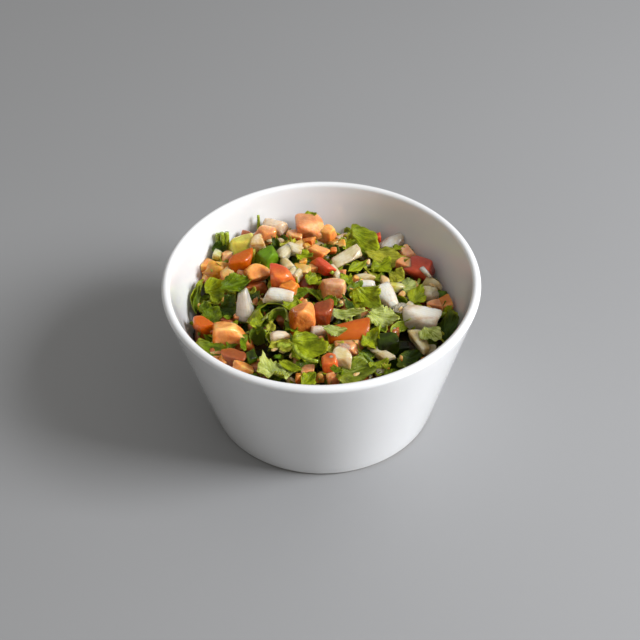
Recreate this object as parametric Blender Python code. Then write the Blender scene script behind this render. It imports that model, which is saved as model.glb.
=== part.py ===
"""A straight-sided white porcelain bowl, filled with pico de gallo.

The bowl is one turned piece. The pico de gallo is one piece too: a core that fills the bowl, with
the diced tomato, diced onion, green chilli, coriander leaves and stems that show fused to its top.

Metres, +Z up. The origin is on the table, on the bowl's axis, and the nearer side of the bowl is -Y.
"""

import math
import random

import bmesh
import bpy
import numpy as np
from mathutils import Matrix, Vector

MM = 0.001

# The bowl
RIM_RADIUS = 60 * MM
BOWL_HEIGHT = 62 * MM
FOOT_RADIUS = 45.5 * MM
RIM_WALL = 3.4 * MM
FOOT_WALL = 4.4 * MM
FLOOR_THICKNESS = 5.0 * MM
INNER_CORNER = 9 * MM
FOOT_CORNER = 1.6 * MM
FOOT_RING_WIDTH = 3.2 * MM
FOOT_RECESS = 1.2 * MM
BOWL_SIDES = 80
CORNER_STEPS = 4
RIM_STEPS = 8

# The heap of pico de gallo
TOUCH_GAP = 0.35 * MM
WALL_LEVEL = 42 * MM
DOME = 4.5 * MM
DOME_RADIUS = 48 * MM
# Soft rises and falls of the heap: the middle, the spread and the height
SWELLS = (
    (-12 * MM, 26 * MM, 15 * MM, 3.0 * MM),
    (30 * MM, 18 * MM, 12 * MM, -2.5 * MM),
    (-32 * MM, 38 * MM, 14 * MM, 6.0 * MM),
)
CORE_SINK = 2.8 * MM
CORE_BUMP = 1.3 * MM
CORE_SIDES = 40
CORE_RINGS = 7
LEAF_THICKNESS = 0.7 * MM
LEAF_SPOKES = 8
LARGE_LEAF = 9.5 * MM
# Cut pieces reach down into the core, and a leaf stands on a smaller piece that does
ROOT_SINK = 4.6 * MM
PROP_SHARE = 0.4
STEEP = 40
FILLERS = 22
FILLER_SPACING = 7.4 * MM
SEED = 7
# The photo looks down at this angle, so a piece lifted by 1 mm looks as if it lay this much further
# back. The tables give each piece where it seems to lie on the heap's mean surface.
LOOK_DOWN = 43.48
BACK_SHIFT = 1 / math.tan(math.radians(LOOK_DOWN))

# The pieces that show, in millimetres and degrees from the bowl's axis: the place x, y, how far the
# middle lies above the mean surface, the length, depth and height, then the turn about +Z, the tilt
# that lifts the far end and the roll about the length.
TOMATO_DICE = (
    (-3.8, 52, 7.5, 11.5, 8.5, 8.5, 8, 0, 0),
    (3, 46.5, 3.5, 6, 6.5, 7, -15, 0, 0),
    (-1.8, 30, 2.8, 8.4, 5.6, 6, -36, 0, 0),
    (-10.5, 43, 3, 6.5, 5, 5, -20, 0, 0),
    (-21.5, 41, 3.5, 7, 6, 7, 22, 0, 0),
    (-32, 33.5, 3, 8.8, 6.5, 6.5, 8, 0, 0),
    (-31.3, 24, 3.2, 8, 5.5, 6.5, 14, 0, 0),
    (-45.5, 27, 2, 5.5, 6, 6, 15, 0, 0),
    (-25, 17.5, 2.5, 8.5, 6.5, 6.5, 0, 0, 0),
    (-15.6, 13.8, 4.4, 7.4, 6.4, 7.6, -24, 0, 0),
    (-12, 8.5, 2.8, 7, 5.5, 5.5, -30, 0, 0),
    (0.5, 21.5, 3, 10.5, 4.2, 4.5, -48, 0, 0),
    (5, 8.8, 3.5, 8.2, 7, 7.8, 8, 0, 0),
    (34.6, 35.8, 2.7, 5.2, 4.5, 4.8, 10, 0, 0),
    (32.6, 27.2, 1.8, 6.5, 4.8, 4.8, -15, 0, 0),
    (41, 24, 3, 12.5, 8, 7.5, -24, 0, 0),
    (43.6, 3, 1.8, 6, 4.8, 5, 0, 0, 0),
    (9.8, -14, 3.4, 14.6, 9.4, 2.4, 14, 0, 10),
    (-45.2, -6.2, 2.8, 7.5, 6, 7.5, -48, 0, 0),
    (-35.2, -11.6, 3.6, 10, 8, 8.4, 8, 0, 0),
    (-32.6, -24.4, 1.6, 8.2, 5.5, 6, -20, 0, 0),
    (-29, -29.8, 1.7, 7.5, 4, 3.5, -28, 0, 0),
    (-7.3, -6.6, 4.2, 8.8, 8, 10, 22, 0, 0),
    (-1, -5.5, 2.4, 7, 7, 8.5, -18, 0, 0),
    (9.5, -23, 0.8, 9, 5, 5, 0, 0, 0),
    (2.6, -30.6, 2.7, 5.2, 5, 8.5, 18, 0, 0),
)
ONION_PIECES = (
    (-18.4, 50, 6.5, 9.5, 6.5, 6.5, -18, 0, 10),
    (-25, 32.3, 2.6, 5.6, 5, 8, 0, 0, 0),
    (-11.4, 31, 2.2, 7.5, 5, 5, -20, 0, 0),
    (-12.4, 22.5, 3.4, 13, 5, 3.6, 106, 0, 14),
    (-16.3, 5.6, 4.8, 11.5, 6.5, 3.2, -10, 0, 16),
    (10.5, 30.2, 4.2, 14.5, 5.6, 4.0, 38, 4, 16),
    (29.5, 42.3, 4, 10.5, 6.5, 3.6, 32, 12, 30),
    (16.8, 15.7, 2.4, 8, 6, 3.4, -3, 0, 0),
    (25, 6.6, 4, 12, 6.5, 4, -62, 0, 14),
    (37.8, -4.4, 4.5, 13, 9.5, 6.2, -22, 0, 12),
    (35.5, -18.2, 2.8, 12.2, 4.4, 4, -65, 4, 12),
    (-1.2, -14.4, 1.4, 6.8, 5, 4.4, 10, 0, 0),
    (6.8, -28.4, 3.4, 7.4, 6.6, 7.2, -18, 0, 0),
    (-29.8, 1.6, 3.6, 12.5, 6, 5.5, 90, 74, 0),
    (-15.8, -15.6, 3.8, 8.6, 5, 3.6, 5, 0, 12),
    (28.8, 14.4, 2.6, 6, 4.2, 3.8, 5, 0, 0),
)
CHILLI_PIECES = (
    (-21, 25, 3.4, 7.6, 7, 7, 38, 0, 0),
    (24, -20.6, 1.4, 8.4, 7, 8, 8, 0, 0),
    (-24, -20, 0.6, 6, 6, 8, -20, 0, 0),
)
CORIANDER_LEAVES = (
    (-17.6, 31.5, 2.5, 10, 9, 2.0, 20, 0, 22),
    (-37.5, 12.8, 4.2, 20, 10.5, 2.5, 10, 0, 26),
    (-35.5, 1.5, 2.4, 11, 12, 2.0, -10, 0, 48),
    (-42, -0.5, 2, 9, 8, 1.5, 60, 40, 10),
    (-49.5, 12, 3, 15, 5, 1.0, 80, 15, 65),
    (-40, 36.5, 3.6, 8, 6, 1.5, 60, 50, 20),
    (-6.6, 27.4, 3.8, 7.5, 6.5, 1.5, -20, 0, 18),
    (-4, 14, 3.2, 8, 7.5, 1.5, 60, 0, 30),
    (10, 39.5, 3, 8.5, 7, 1.5, 10, 0, 15),
    (18, 42, 4.4, 17, 12.5, 2.5, -46, 0, 22),
    (27, 33.4, 4.2, 17, 9.5, 2.0, -18, 0, 20),
    (14, 24, 3.6, 9.5, 4.8, 1.2, 42, 0, 18),
    (24, 27, 2.4, 12, 9, 2.0, 0, 0, 14),
    (30, 21.8, 4, 10, 7.5, 1.5, -34, 0, 20),
    (34.5, 15.6, 3.2, 9, 7.5, 1.5, 30, 0, 20),
    (37.4, 9.6, 3.8, 11, 7.5, 1.5, 56, 15, 20),
    (10.5, 15, 2.2, 7.5, 6.5, 1.5, 30, 0, 14),
    (17.6, 5.2, 3.4, 14, 12.5, 2.5, -55, 0, 20),
    (23.6, -6, 3.4, 13, 9.5, 2.0, -24, 0, 20),
    (48, -8, 4.2, 18, 8, 1.5, 64, 32, 0),
    (9.6, -4.4, 3.2, 11.5, 5.5, 1.5, 0, 0, 18),
    (18, -18.6, 3.6, 11, 8.5, 2.5, 48, 12, 10),
    (40, -13.6, 4, 13, 9, 2.0, -62, 0, 18),
    (11.4, -32.6, 3, 16.5, 11.5, 2.0, 18, 0, 26),
    (20.5, -31, 2.4, 8.5, 7, 1.5, 20, 0, 18),
    (-11.2, -11, 2.8, 7.5, 7, 1.5, -60, 0, 14),
    (-41, -18.5, 2.4, 13, 7, 2.0, -22, 0, 20),
    (-29.8, -17, 2.8, 12, 6, 1.5, 78, 0, 60),
    (-19, -16, 2.4, 12, 5, 1.5, 84, 0, 35),
    (-11.5, 0.6, 3.4, 11.5, 6, 1.5, 32, 0, 18),
    (-26.5, -4, 2.6, 11, 5.5, 1.5, 48, 0, 30),
    (-6, -21.6, 3.8, 12.5, 12, 2.5, -22, 0, 30),
    (-17.4, -31.5, 4, 14, 13.5, 2.5, 120, 0, 24),
    (-5.5, -36.8, 2.4, 8, 7, 1.5, 60, 0, 20),
)
# A curled leaf lies round a dark hollow: its place and lift, radius, width, the arc it covers and
# its turn.
CURLED_LEAF = (-19.5, -6.8, 3.2, 5.2, 5.0, 245, 175)
# The stems' place and lift, then the length, thickness, bend, turn and tilt.
STEMS = (
    (-39.4, 39.2, 5.9, 8.6, 4.6, 8, 80, 82),
    (-40, 25, 4, 8.5, 1.6, 8, 38, 4),
    (-7.4, -26, 5.2, 13, 1.7, 75, -44, 0),
    (-13.5, -20.6, 3, 6, 2.8, 20, 5, 0),
)


def clear_scene():
    for thing in list(bpy.data.objects):
        bpy.data.objects.remove(thing, do_unlink=True)


def finish(name, colour, roughness):
    """A Principled material with the part's colour."""
    material = bpy.data.materials.new(name)
    material.use_nodes = True
    shader = material.node_tree.nodes["Principled BSDF"]
    shader.inputs["Base Color"].default_value = (*colour, 1)
    shader.inputs["Roughness"].default_value = roughness
    shader.inputs["Metallic"].default_value = 0.0
    return material


def add_object(name, mesh, material=None, collection=None):
    thing = bpy.data.objects.new(name, mesh)
    (collection or bpy.context.scene.collection).objects.link(thing)
    if material:
        mesh.materials.append(material)
    return thing


def arc(centre, radius, start, end, steps):
    """Points on a round corner of a profile, from one angle to another, in degrees."""
    angles = np.radians(np.linspace(start, end, steps + 1))
    return [(centre[0] + radius * math.cos(a), centre[1] + radius * math.sin(a)) for a in angles]


def outer_radius(z):
    """The bowl's outer wall, a straight line from the foot to the rim."""
    return FOOT_RADIUS + (RIM_RADIUS - FOOT_RADIUS) * z / BOWL_HEIGHT


def inner_radius(z):
    """The bowl's inner wall: the wall is a little thicker towards the foot."""
    return outer_radius(z) - FOOT_WALL + (FOOT_WALL - RIM_WALL) * z / BOWL_HEIGHT


def bowl_profile():
    """Half of the bowl's section, from the middle of its inner floor over the rim to its underside."""
    floor_top = FOOT_RECESS + FLOOR_THICKNESS
    lean = math.degrees(math.atan2(RIM_RADIUS - FOOT_RADIUS, BOWL_HEIGHT))
    corner_height = floor_top + INNER_CORNER
    corner_radius = inner_radius(corner_height - INNER_CORNER * math.sin(math.radians(lean)))
    corner = (corner_radius - INNER_CORNER * math.cos(math.radians(lean)), corner_height)
    rim_round = RIM_WALL / 2
    rim = (RIM_RADIUS - rim_round, BOWL_HEIGHT - rim_round)
    foot = (FOOT_RADIUS - FOOT_CORNER, FOOT_CORNER)
    ring = FOOT_RADIUS - FOOT_CORNER - FOOT_RING_WIDTH
    points = [(0, floor_top)]
    points += arc(corner, INNER_CORNER, -90, -lean, CORNER_STEPS)
    points += arc(rim, rim_round, 180 - lean, 90, RIM_STEPS // 2)
    points += arc(rim, rim_round, 90, -lean, RIM_STEPS // 2)[1:]
    points += arc(foot, FOOT_CORNER, -lean, -90, CORNER_STEPS - 1)
    points += [(ring, 0), (ring - FOOT_RECESS, FOOT_RECESS), (0, FOOT_RECESS)]
    return points


def make_bowl(material):
    """The bowl: its section turned about the axis."""
    points = bowl_profile()
    mesh = bpy.data.meshes.new("bowl")
    edges = [(i, i + 1) for i in range(len(points) - 1)]
    mesh.from_pydata([(r, 0, z) for r, z in points], edges, [])
    bowl = add_object("bowl", mesh, material)
    turn = bowl.modifiers.new("turn", "SCREW")
    turn.steps = turn.render_steps = BOWL_SIDES
    turn.use_merge_vertices = True
    turn.merge_threshold = 0.01 * MM
    turn.use_smooth_shade = True
    return bowl


def swell(x, y, place):
    """A soft round rise, or fall, of the heap: its middle, its spread and its height."""
    across = (x - place[0]) ** 2 + (y - place[1]) ** 2
    return place[3] * math.exp(-across / (2 * place[2] ** 2))


def heap_level(x, y):
    """The height of the heap's mean surface: a low dome with its swells."""
    dome = DOME * (1 - (x * x + y * y) / DOME_RADIUS**2)
    return WALL_LEVEL + dome + sum(swell(x, y, place) for place in SWELLS)


def inside_bowl(point):
    """The point, drawn in towards the axis where it would reach the bowl's wall."""
    reach = math.hypot(point.x, point.y)
    room = inner_radius(point.z) - TOUCH_GAP
    if reach > room:
        point = Vector((point.x * room / reach, point.y * room / reach, point.z))
    return point


def make_core():
    """The heap below the pieces that show: it fills the bowl and ends in an uneven top."""
    draw = random.Random(SEED)
    floor = FOOT_RECESS + FLOOR_THICKNESS + TOUCH_GAP
    angles = [2 * math.pi * k / CORE_SIDES for k in range(CORE_SIDES)]
    shape = bmesh.new()

    def ring(radius, height):
        made = []
        for angle in angles:
            x, y = radius * math.cos(angle), radius * math.sin(angle)
            z = height(x, y) if callable(height) else height
            made.append(shape.verts.new(inside_bowl(Vector((x, y, z)))))
        return made

    def bumpy(x, y):
        return heap_level(x, y) - CORE_SINK + draw.uniform(-CORE_BUMP, CORE_BUMP)

    side_radius = inner_radius(WALL_LEVEL)
    corner_reach = INNER_CORNER * (1 - math.sqrt(0.5))
    low_radius = inner_radius(floor) - INNER_CORNER
    rings = [
        ring(low_radius, floor),
        ring(inner_radius(floor) - corner_reach - TOUCH_GAP, floor + corner_reach),
        ring(inner_radius(floor + INNER_CORNER) - TOUCH_GAP, floor + INNER_CORNER),
    ]
    for k in range(CORE_RINGS):
        radius = side_radius * (1 - k / CORE_RINGS)
        rings.append(ring(radius, bumpy))
    for lower, upper in zip(rings, rings[1:]):
        for k in range(CORE_SIDES):
            after = (k + 1) % CORE_SIDES
            shape.faces.new((lower[k], lower[after], upper[after], upper[k]))
    low_middle = shape.verts.new((0, 0, floor))
    top_middle = shape.verts.new((0, 0, heap_level(0, 0) - CORE_SINK))
    for k in range(CORE_SIDES):
        after = (k + 1) % CORE_SIDES
        shape.faces.new((rings[0][after], rings[0][k], low_middle))
        shape.faces.new((rings[-1][k], rings[-1][after], top_middle))
    bmesh.ops.triangulate(shape, faces=shape.faces)
    mesh = bpy.data.meshes.new("pico_de_gallo")
    shape.to_mesh(mesh)
    shape.free()
    return mesh


def put(shape, x, y, lift, turn, tilt, roll=0):
    """Sets a piece, made about the origin, over its place on the heap and keeps it in the bowl."""
    place = Vector((x, y, heap_level(x, y) + lift))
    swing = Matrix.Rotation(math.radians(turn), 3, "Z")
    swing = swing @ Matrix.Rotation(-math.radians(tilt), 3, "Y")
    swing = swing @ Matrix.Rotation(math.radians(roll), 3, "X")
    for vertex in shape.verts:
        vertex.co = inside_bowl(swing @ vertex.co + place)


def box(length, depth, height):
    """A plain box, about the origin."""
    shape = bmesh.new()
    bmesh.ops.create_cube(shape, size=1)
    bmesh.ops.scale(shape, verts=shape.verts, vec=(length, depth, height))
    return shape


def diced(draw, length, depth, height):
    """A cut cube: a box with uneven corners and one side bulged, as the skin side is."""
    shape = box(1, 1, 1)
    shape.faces.ensure_lookup_table()
    top = max(shape.faces, key=lambda face: face.normal.z)
    bmesh.ops.poke(shape, faces=[top])
    half = Vector((length, depth, height)) / 2
    for vertex in shape.verts:
        corner = vertex.co * 2
        skew = [draw.uniform(0.80, 1.04) for _ in range(3)]
        vertex.co = Vector([corner[i] * half[i] * skew[i] for i in range(3)])
        if abs(corner.x) < 0.5:
            vertex.co.z = half.z * 1.12
    bmesh.ops.triangulate(shape, faces=shape.faces)
    return shape


def leaf(draw, length, width, cup):
    """A thin wavy leaf with three lobes. Both faces are split into the same triangles, in two rings
    on a large leaf and one on a small one."""
    shape = bmesh.new()
    spokes = LEAF_SPOKES
    shares = (0.55, 1.0) if length > LARGE_LEAF else (1.0,)
    sheets = []
    for side in (-1, 1):
        middle = shape.verts.new((0, 0, side * LEAF_THICKNESS / 2))
        rings = [[middle] * spokes]
        for share in shares:
            ring = []
            for k in range(spokes):
                angle = 2 * math.pi * k / spokes
                lobe = 0.86 + 0.14 * math.cos(3 * angle)
                x, y = lobe * math.cos(angle), lobe * math.sin(angle)
                wave = cup * (0.45 * math.cos(2 * angle) - 0.35 * math.sin(3 * angle))
                z = wave * share**2 + side * LEAF_THICKNESS / 2
                ring.append(shape.verts.new((x * length / 2 * share, y * width / 2 * share, z)))
            rings.append(ring)
        sheets.append(rings)
    for k in range(spokes):
        after = (k + 1) % spokes
        for rings, up in ((sheets[0], False), (sheets[1], True)):
            for inner, outer in zip(rings, rings[1:]):
                corners = [(inner[k], outer[k], outer[after])]
                if inner[k] is not inner[after]:
                    corners.append((inner[k], outer[after], inner[after]))
                for triangle in corners:
                    shape.faces.new(triangle if up else triangle[::-1])
        low, high = sheets[0][-1], sheets[1][-1]
        shape.faces.new((low[k], low[after], high[after]))
        shape.faces.new((low[k], high[after], high[k]))
    shift = draw.uniform(-0.2, 0.2)
    for vertex in shape.verts:
        vertex.co.z += shift * vertex.co.x
    return shape


def carried(section, centres, turns):
    """A closed solid: a section carried along centres, turned about +Z at each, with flat ends."""
    shape = bmesh.new()
    rings = []
    for centre, turn in zip(centres, turns):
        swing = Matrix.Rotation(turn, 3, "Z")
        rings.append([shape.verts.new(swing @ Vector((0, y, z)) + centre) for y, z in section])
    count = len(section)
    for first, second in zip(rings, rings[1:]):
        for k in range(count):
            after = (k + 1) % count
            shape.faces.new((first[k], first[after], second[after], second[k]))
    shape.faces.new(rings[0])
    shape.faces.new(list(reversed(rings[-1])))
    bmesh.ops.recalc_face_normals(shape, faces=shape.faces)
    bmesh.ops.triangulate(shape, faces=shape.faces)
    return shape


def bent_path(length, bend, steps):
    """Centres and turns along a level arc of that length, bent through that many degrees."""
    sweep = math.radians(bend)
    radius = length / sweep
    turns = [sweep * (k / steps - 0.5) for k in range(steps + 1)]
    centres = [Vector((radius * math.sin(t), radius * (1 - math.cos(t)), 0)) for t in turns]
    return centres, turns


def stem(length, thickness, bend):
    """A six-sided stem, bent evenly along its length."""
    angles = [2 * math.pi * k / 6 for k in range(6)]
    section = [(thickness / 2 * math.cos(a), thickness / 2 * math.sin(a)) for a in angles]
    return carried(section, *bent_path(length, bend, 4))


def curled_leaf(radius, width, sweep):
    """A leaf on edge, curled round into most of a ring."""
    half = LEAF_THICKNESS * 0.6
    section = [(-half, -width / 2), (half, -width / 2), (half, width / 2), (-half, width / 2)]
    return carried(section, *bent_path(math.radians(sweep) * radius, sweep, 12))


def filler_places(taken):
    """Seeded places between the named pieces, one a cell of a jittered grid, nowhere on a named one."""
    draw = random.Random(SEED)
    room = inner_radius(WALL_LEVEL) - 5 * MM
    steps = int(room / FILLER_SPACING) + 1
    places = []
    for column in range(-steps, steps + 1):
        for row in range(-steps, steps + 1):
            x = (column + draw.uniform(-0.35, 0.35)) * FILLER_SPACING
            y = (row + draw.uniform(-0.35, 0.35)) * FILLER_SPACING
            gap = min(math.hypot(x - a * MM, y - b * MM) for a, b in taken)
            if math.hypot(x, y) < room:
                places.append((gap, x, y))
    places.sort(reverse=True)
    return [(x, y) for _, x, y in places[:FILLERS]]


def make_heap(material):
    """The heap: the core with every piece that shows fused to it by one union."""
    draw = random.Random(SEED)
    loose = bpy.data.collections.new("loose_pieces")
    bpy.context.scene.collection.children.link(loose)

    def add(kind, shape):
        mesh = bpy.data.meshes.new(kind)
        shape.to_mesh(mesh)
        shape.free()
        add_object(kind, mesh, collection=loose)

    def lay(kind, shape, size, x, y, lift, turn, tilt, roll=0):
        """Lays a piece along the line of sight, joined to the core below it."""
        y -= lift * BACK_SHIFT
        if kind in ("leaf", "stem", "curled_leaf"):
            prop = box(size[0] * PROP_SHARE, size[1] * PROP_SHARE, lift + ROOT_SINK)
            put(prop, x, y, (lift - ROOT_SINK) / 2, turn, 0)
            add("prop", prop)
        elif tilt < STEEP:
            below = max(0, lift - size[2] / 2 + ROOT_SINK)
            for vertex in shape.verts:
                vertex.co.z -= below if vertex.co.z < 0 else 0
        put(shape, x, y, lift, turn, tilt, roll)
        add(kind, shape)

    for kind, table in (("tomato", TOMATO_DICE), ("onion", ONION_PIECES), ("chilli", CHILLI_PIECES)):
        for x, y, lift, length, depth, height, turn, tilt, roll in table:
            size = [side * MM for side in (length, depth, height)]
            lay(kind, diced(draw, *size), size, x * MM, y * MM, lift * MM, turn, tilt, roll)
    for x, y, lift, length, width, cup, turn, tilt, roll in CORIANDER_LEAVES:
        size = [side * MM for side in (length, width, cup)]
        lay("leaf", leaf(draw, *size), size, x * MM, y * MM, lift * MM, turn, tilt, roll)
    for x, y, lift, length, thickness, bend, turn, tilt in STEMS:
        size = [side * MM for side in (thickness, thickness, thickness)]
        lay("stem", stem(length * MM, thickness * MM, bend), size, x * MM, y * MM, lift * MM, turn, tilt)
    x, y, lift, radius, width, sweep, turn = CURLED_LEAF
    shape = curled_leaf(radius * MM, width * MM, sweep)
    bmesh.ops.translate(shape, verts=shape.verts, vec=(0, -radius * MM, 0))
    size = [radius * MM, radius * MM, width * MM]
    lay("curled_leaf", shape, size, x * MM, y * MM, lift * MM, turn, 0)
    taken = [row[:2] for row in TOMATO_DICE + ONION_PIECES + CHILLI_PIECES + CORIANDER_LEAVES]
    for x, y in filler_places(taken):
        size = [draw.uniform(5.0, 8.0) * MM for _ in range(3)]
        shape = diced(draw, *size)
        put(shape, x, y, draw.uniform(-1.6, 0.2) * MM, draw.uniform(0, 90), draw.uniform(-15, 15))
        add("filler", shape)
    heap = add_object("pico_de_gallo", make_core(), material)
    union = heap.modifiers.new("fuse", "BOOLEAN")
    union.operation = "UNION"
    union.operand_type = "COLLECTION"
    union.collection = loose
    union.solver = "EXACT"
    graph = bpy.context.evaluated_depsgraph_get()
    fused = bpy.data.meshes.new_from_object(heap.evaluated_get(graph))
    heap.modifiers.clear()
    heap.data = fused
    for piece in list(loose.objects):
        bpy.data.objects.remove(piece, do_unlink=True)
    bpy.data.collections.remove(loose)
    keep_main_body(fused)
    fused.shade_flat()
    return heap


def keep_main_body(mesh):
    """Drops what the union left apart from the main body: loose scraps and sealed hollows."""
    shape = bmesh.new()
    shape.from_mesh(mesh)
    bmesh.ops.triangulate(shape, faces=shape.faces)
    unseen = set(shape.verts)
    bodies = []
    while unseen:
        body, edge = set(), [unseen.pop()]
        while edge:
            vertex = edge.pop()
            body.add(vertex)
            for link in vertex.link_edges:
                other = link.other_vert(vertex)
                if other in unseen:
                    unseen.remove(other)
                    edge.append(other)
        bodies.append(body)
    bodies.sort(key=len)
    spare = [vertex for body in bodies[:-1] for vertex in body]
    bmesh.ops.delete(shape, geom=spare, context="VERTS")
    shape.to_mesh(mesh)
    shape.free()


def main():
    clear_scene()
    make_bowl(finish("white_porcelain", (0.88, 0.88, 0.87), 0.15))
    make_heap(finish("pico_de_gallo", (0.55, 0.22, 0.07), 0.35))


main()
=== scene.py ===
"""Pico de gallo in a small white porcelain bowl.

The bowl, the heap's core and every kind of cut piece are surfaces worked out over the solid model:
diced tomato, chopped white onion, green chilli, coriander leaves and stems, tomato seeds and gel.
Sizes in the tables are in millimetres and angles in degrees.
"""

import math

import bpy
import numpy as np
from mathutils import Matrix


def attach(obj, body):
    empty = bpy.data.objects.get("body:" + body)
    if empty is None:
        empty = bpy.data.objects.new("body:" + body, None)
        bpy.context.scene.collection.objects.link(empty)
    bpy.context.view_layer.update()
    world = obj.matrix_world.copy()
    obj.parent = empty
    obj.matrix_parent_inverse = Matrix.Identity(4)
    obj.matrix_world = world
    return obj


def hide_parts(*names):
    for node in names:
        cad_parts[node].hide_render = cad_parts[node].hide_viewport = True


bl_info = {
    "name": "Pico de Gallo Bowl",
    "version": (1, 0, 0),
    "blender": (4, 5, 0),
    "location": "3D View > Sidebar > Pico de Gallo",
    "description": "Builds a porcelain bowl of pico de gallo over its solid model",
    "category": "Add Mesh",
}

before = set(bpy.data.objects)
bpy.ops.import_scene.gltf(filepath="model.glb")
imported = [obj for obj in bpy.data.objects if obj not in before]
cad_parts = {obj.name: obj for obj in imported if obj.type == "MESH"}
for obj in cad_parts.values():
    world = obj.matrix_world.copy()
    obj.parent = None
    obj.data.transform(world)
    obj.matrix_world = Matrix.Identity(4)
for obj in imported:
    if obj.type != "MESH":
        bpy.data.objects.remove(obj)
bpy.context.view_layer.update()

BODY = "root"
BOWL_NODE = "bowl"
HEAP_NODE = "pico_de_gallo"
PORCELAIN_SLOT = "porcelain"
SALSA_SLOT = "salsa"
MM = 0.001

# The bowl, in millimetres, as the solid model has it
RIM_RADIUS = 60.0
BOWL_HEIGHT = 62.0
FOOT_RADIUS = 45.5
RIM_WALL = 3.4
FOOT_WALL = 4.4
FLOOR_TOP = 6.2
INNER_CORNER = 9.0
FOOT_CORNER = 1.6
FOOT_RING_WIDTH = 3.2
FOOT_RECESS = 1.2
# The finely turned bowl is drawn in by this, to stay inside the solid model's flat facets
BOWL_FIT = 0.999

# The heap's mean surface: its level at the wall, the dome, and the soft rises and falls on it,
# each with its middle, its spread and its height
WALL_LEVEL = 42.0
DOME = 4.5
DOME_RADIUS = 48.0
SWELLS = ((-12, 26, 15, 3.0), (30, 18, 12, -2.5), (-32, 38, 14, 6.0))
WALL_GAP = 0.3
# The core: how far its top lies below the mean surface, the level where it meets the wall, and
# its sides and rings
CORE_DEPTH = 5.2
CORE_EDGE = WALL_LEVEL - 5
CORE_GRID = (144, 44)

# The camera looks down at this angle, so a piece lifted by one millimetre looks as if it lay this
# much further back. The tables give each piece where it seems to lie on the mean surface.
LOOK_DOWN = 43.48
BACK_SHIFT = 1 / math.tan(math.radians(LOOK_DOWN))

# Tomato: x, y, lift, length, depth, height, turn, tilt, roll, flesh colour, the side with
# skin, how crisp its edges are
TOMATO_PIECES = (
    (-4.6, 51.5, 7.3, 11.5, 9, 9.5, 8, 0, 0, "rose", "back", 8),
    (3.2, 46.5, 4, 6.5, 6.5, 7.5, -15, 0, 0, "peach", "none", 8),
    (-4.5, 37, 3.4, 4.2, 2.4, 5.4, -14, 0, 0, "orange", "front", 10),
    (-1.8, 30, 2.8, 8.4, 5.6, 6, -36, 0, 0, "peach", "none", 10),
    (-10.5, 43, 3, 6.5, 5, 5, -20, 0, 0, "salmon", "none", 9),
    (-21.5, 41, 3.5, 7, 6, 7, 22, 0, 0, "salmon", "right", 9),
    (-30, 41.5, 2, 4.5, 4, 3, 0, 0, 0, "brick", "none", 10),
    (-32, 33.5, 3, 9.6, 7, 7.2, 8, 0, 0, "lime", "none", 8),
    (-37, 29.5, 2.5, 4.5, 3.5, 3.8, 25, 0, 0, "salmon", "none", 10),
    (-31.5, 24.4, 3.4, 8.2, 6, 6, 14, 0, 10, "orange", "all", 8),
    (-45.5, 27, 2, 5.5, 6, 6, 15, 0, 0, "peach", "right", 8),
    (-31, 18.5, 1, 5, 4, 3.5, 0, 0, 0, "rose", "none", 10),
    (-25, 17.5, 2.5, 8.4, 6.5, 6.5, 24, -8, 18, "peach", "left", 10),
    (-25, 10.5, -0.5, 8, 6, 6, 0, 0, 0, "brick", "none", 10),
    (-15.6, 13.8, 4.4, 7.4, 6.4, 7.6, -24, 0, 0, "red", "none", 8),
    (-12, 8.5, 2.8, 7, 5.5, 5.5, -30, 0, 0, "orange", "none", 10),
    (0.5, 21.5, 3, 10.5, 4.2, 4.5, -48, 0, 0, "red", "top", 10),
    (-2.5, 20, 1.5, 5.5, 3.5, 3, 0, 0, 0, "peach", "none", 10),
    (-7, 18, 1.4, 5.5, 4.5, 4, 0, 0, 0, "gold", "none", 10),
    (5, 8.8, 3.5, 8.2, 7, 7.8, 8, 0, 0, "blush", "none", 10),
    (34.7, 36.4, 3.6, 6, 5, 5.4, 10, 0, 0, "blush", "none", 8),
    (33.8, 29, 4.0, 6.5, 5, 5.4, -15, 0, 0, "rose", "none", 8),
    (40, 26, 3.4, 9.8, 7.8, 8, -34, 8, 26, "claret", "back", 8),
    (23, 44.8, 3.7, 4.4, 3.2, 5, 0, 0, 0, "red", "front", 10),
    (43.6, 3, 1.8, 6, 4.8, 5, 0, 0, 0, "rose", "none", 8),
    (-45.2, -6.4, 3.2, 7.6, 4.5, 7.6, -44, 0, 18, "orange", "all", 10),
    (-35.2, -11.6, 3.6, 10, 8, 8.4, 8, 0, 0, "peach", "left", 8),
    (-32.6, -24.4, 1.6, 8.2, 5.5, 6, -20, 0, 0, "brick", "none", 6),
    (-29, -29.8, 1.7, 7.5, 4, 3.5, -28, 0, 0, "peach", "none", 10),
    (-23.5, -31, -0.5, 6.5, 6, 5, 0, 0, 0, "brick", "none", 10),
    (-7.3, -6.6, 4.2, 8.8, 8, 10, 22, 0, 0, "orange", "left", 10),
    (-0.6, -5.5, 2.4, 7.6, 7, 9, -18, 0, 0, "rust", "right", 8),
    (9.5, -23, 0.8, 9, 5, 5, 0, 0, 0, "rose", "none", 10),
    (2.6, -30.6, 2.7, 5.2, 5, 8.5, 18, 0, 0, "red", "left", 10),
    (3.5, -37, 0.8, 5, 4.5, 4.5, 0, 0, 0, "rose", "none", 6),
    (-5.5, -33, 1, 5, 4, 3.5, 0, 0, 0, "rose", "none", 10),
    (-8.8, -36.5, 1.6, 2.6, 3, 5, 0, 0, 0, "orange", "front", 10),
    (-38.5, -22.5, 0.6, 5, 3.5, 3, 20, 0, 0, "rose", "none", 10),
)
# Tomato skin with a little flesh: x, y, lift, length, depth, thickness, turn, tilt, roll, bend,
# taper
TOMATO_SKINS = (
    (9.8, -14.3, 4.4, 15, 11.5, 1.1, 190, 0, -32, 0.3, 0.5),
    (-40.2, -9, 2.6, 5.4, 4.5, 1.2, -30, 0, 30, 0.5, 0.25),
)
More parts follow.
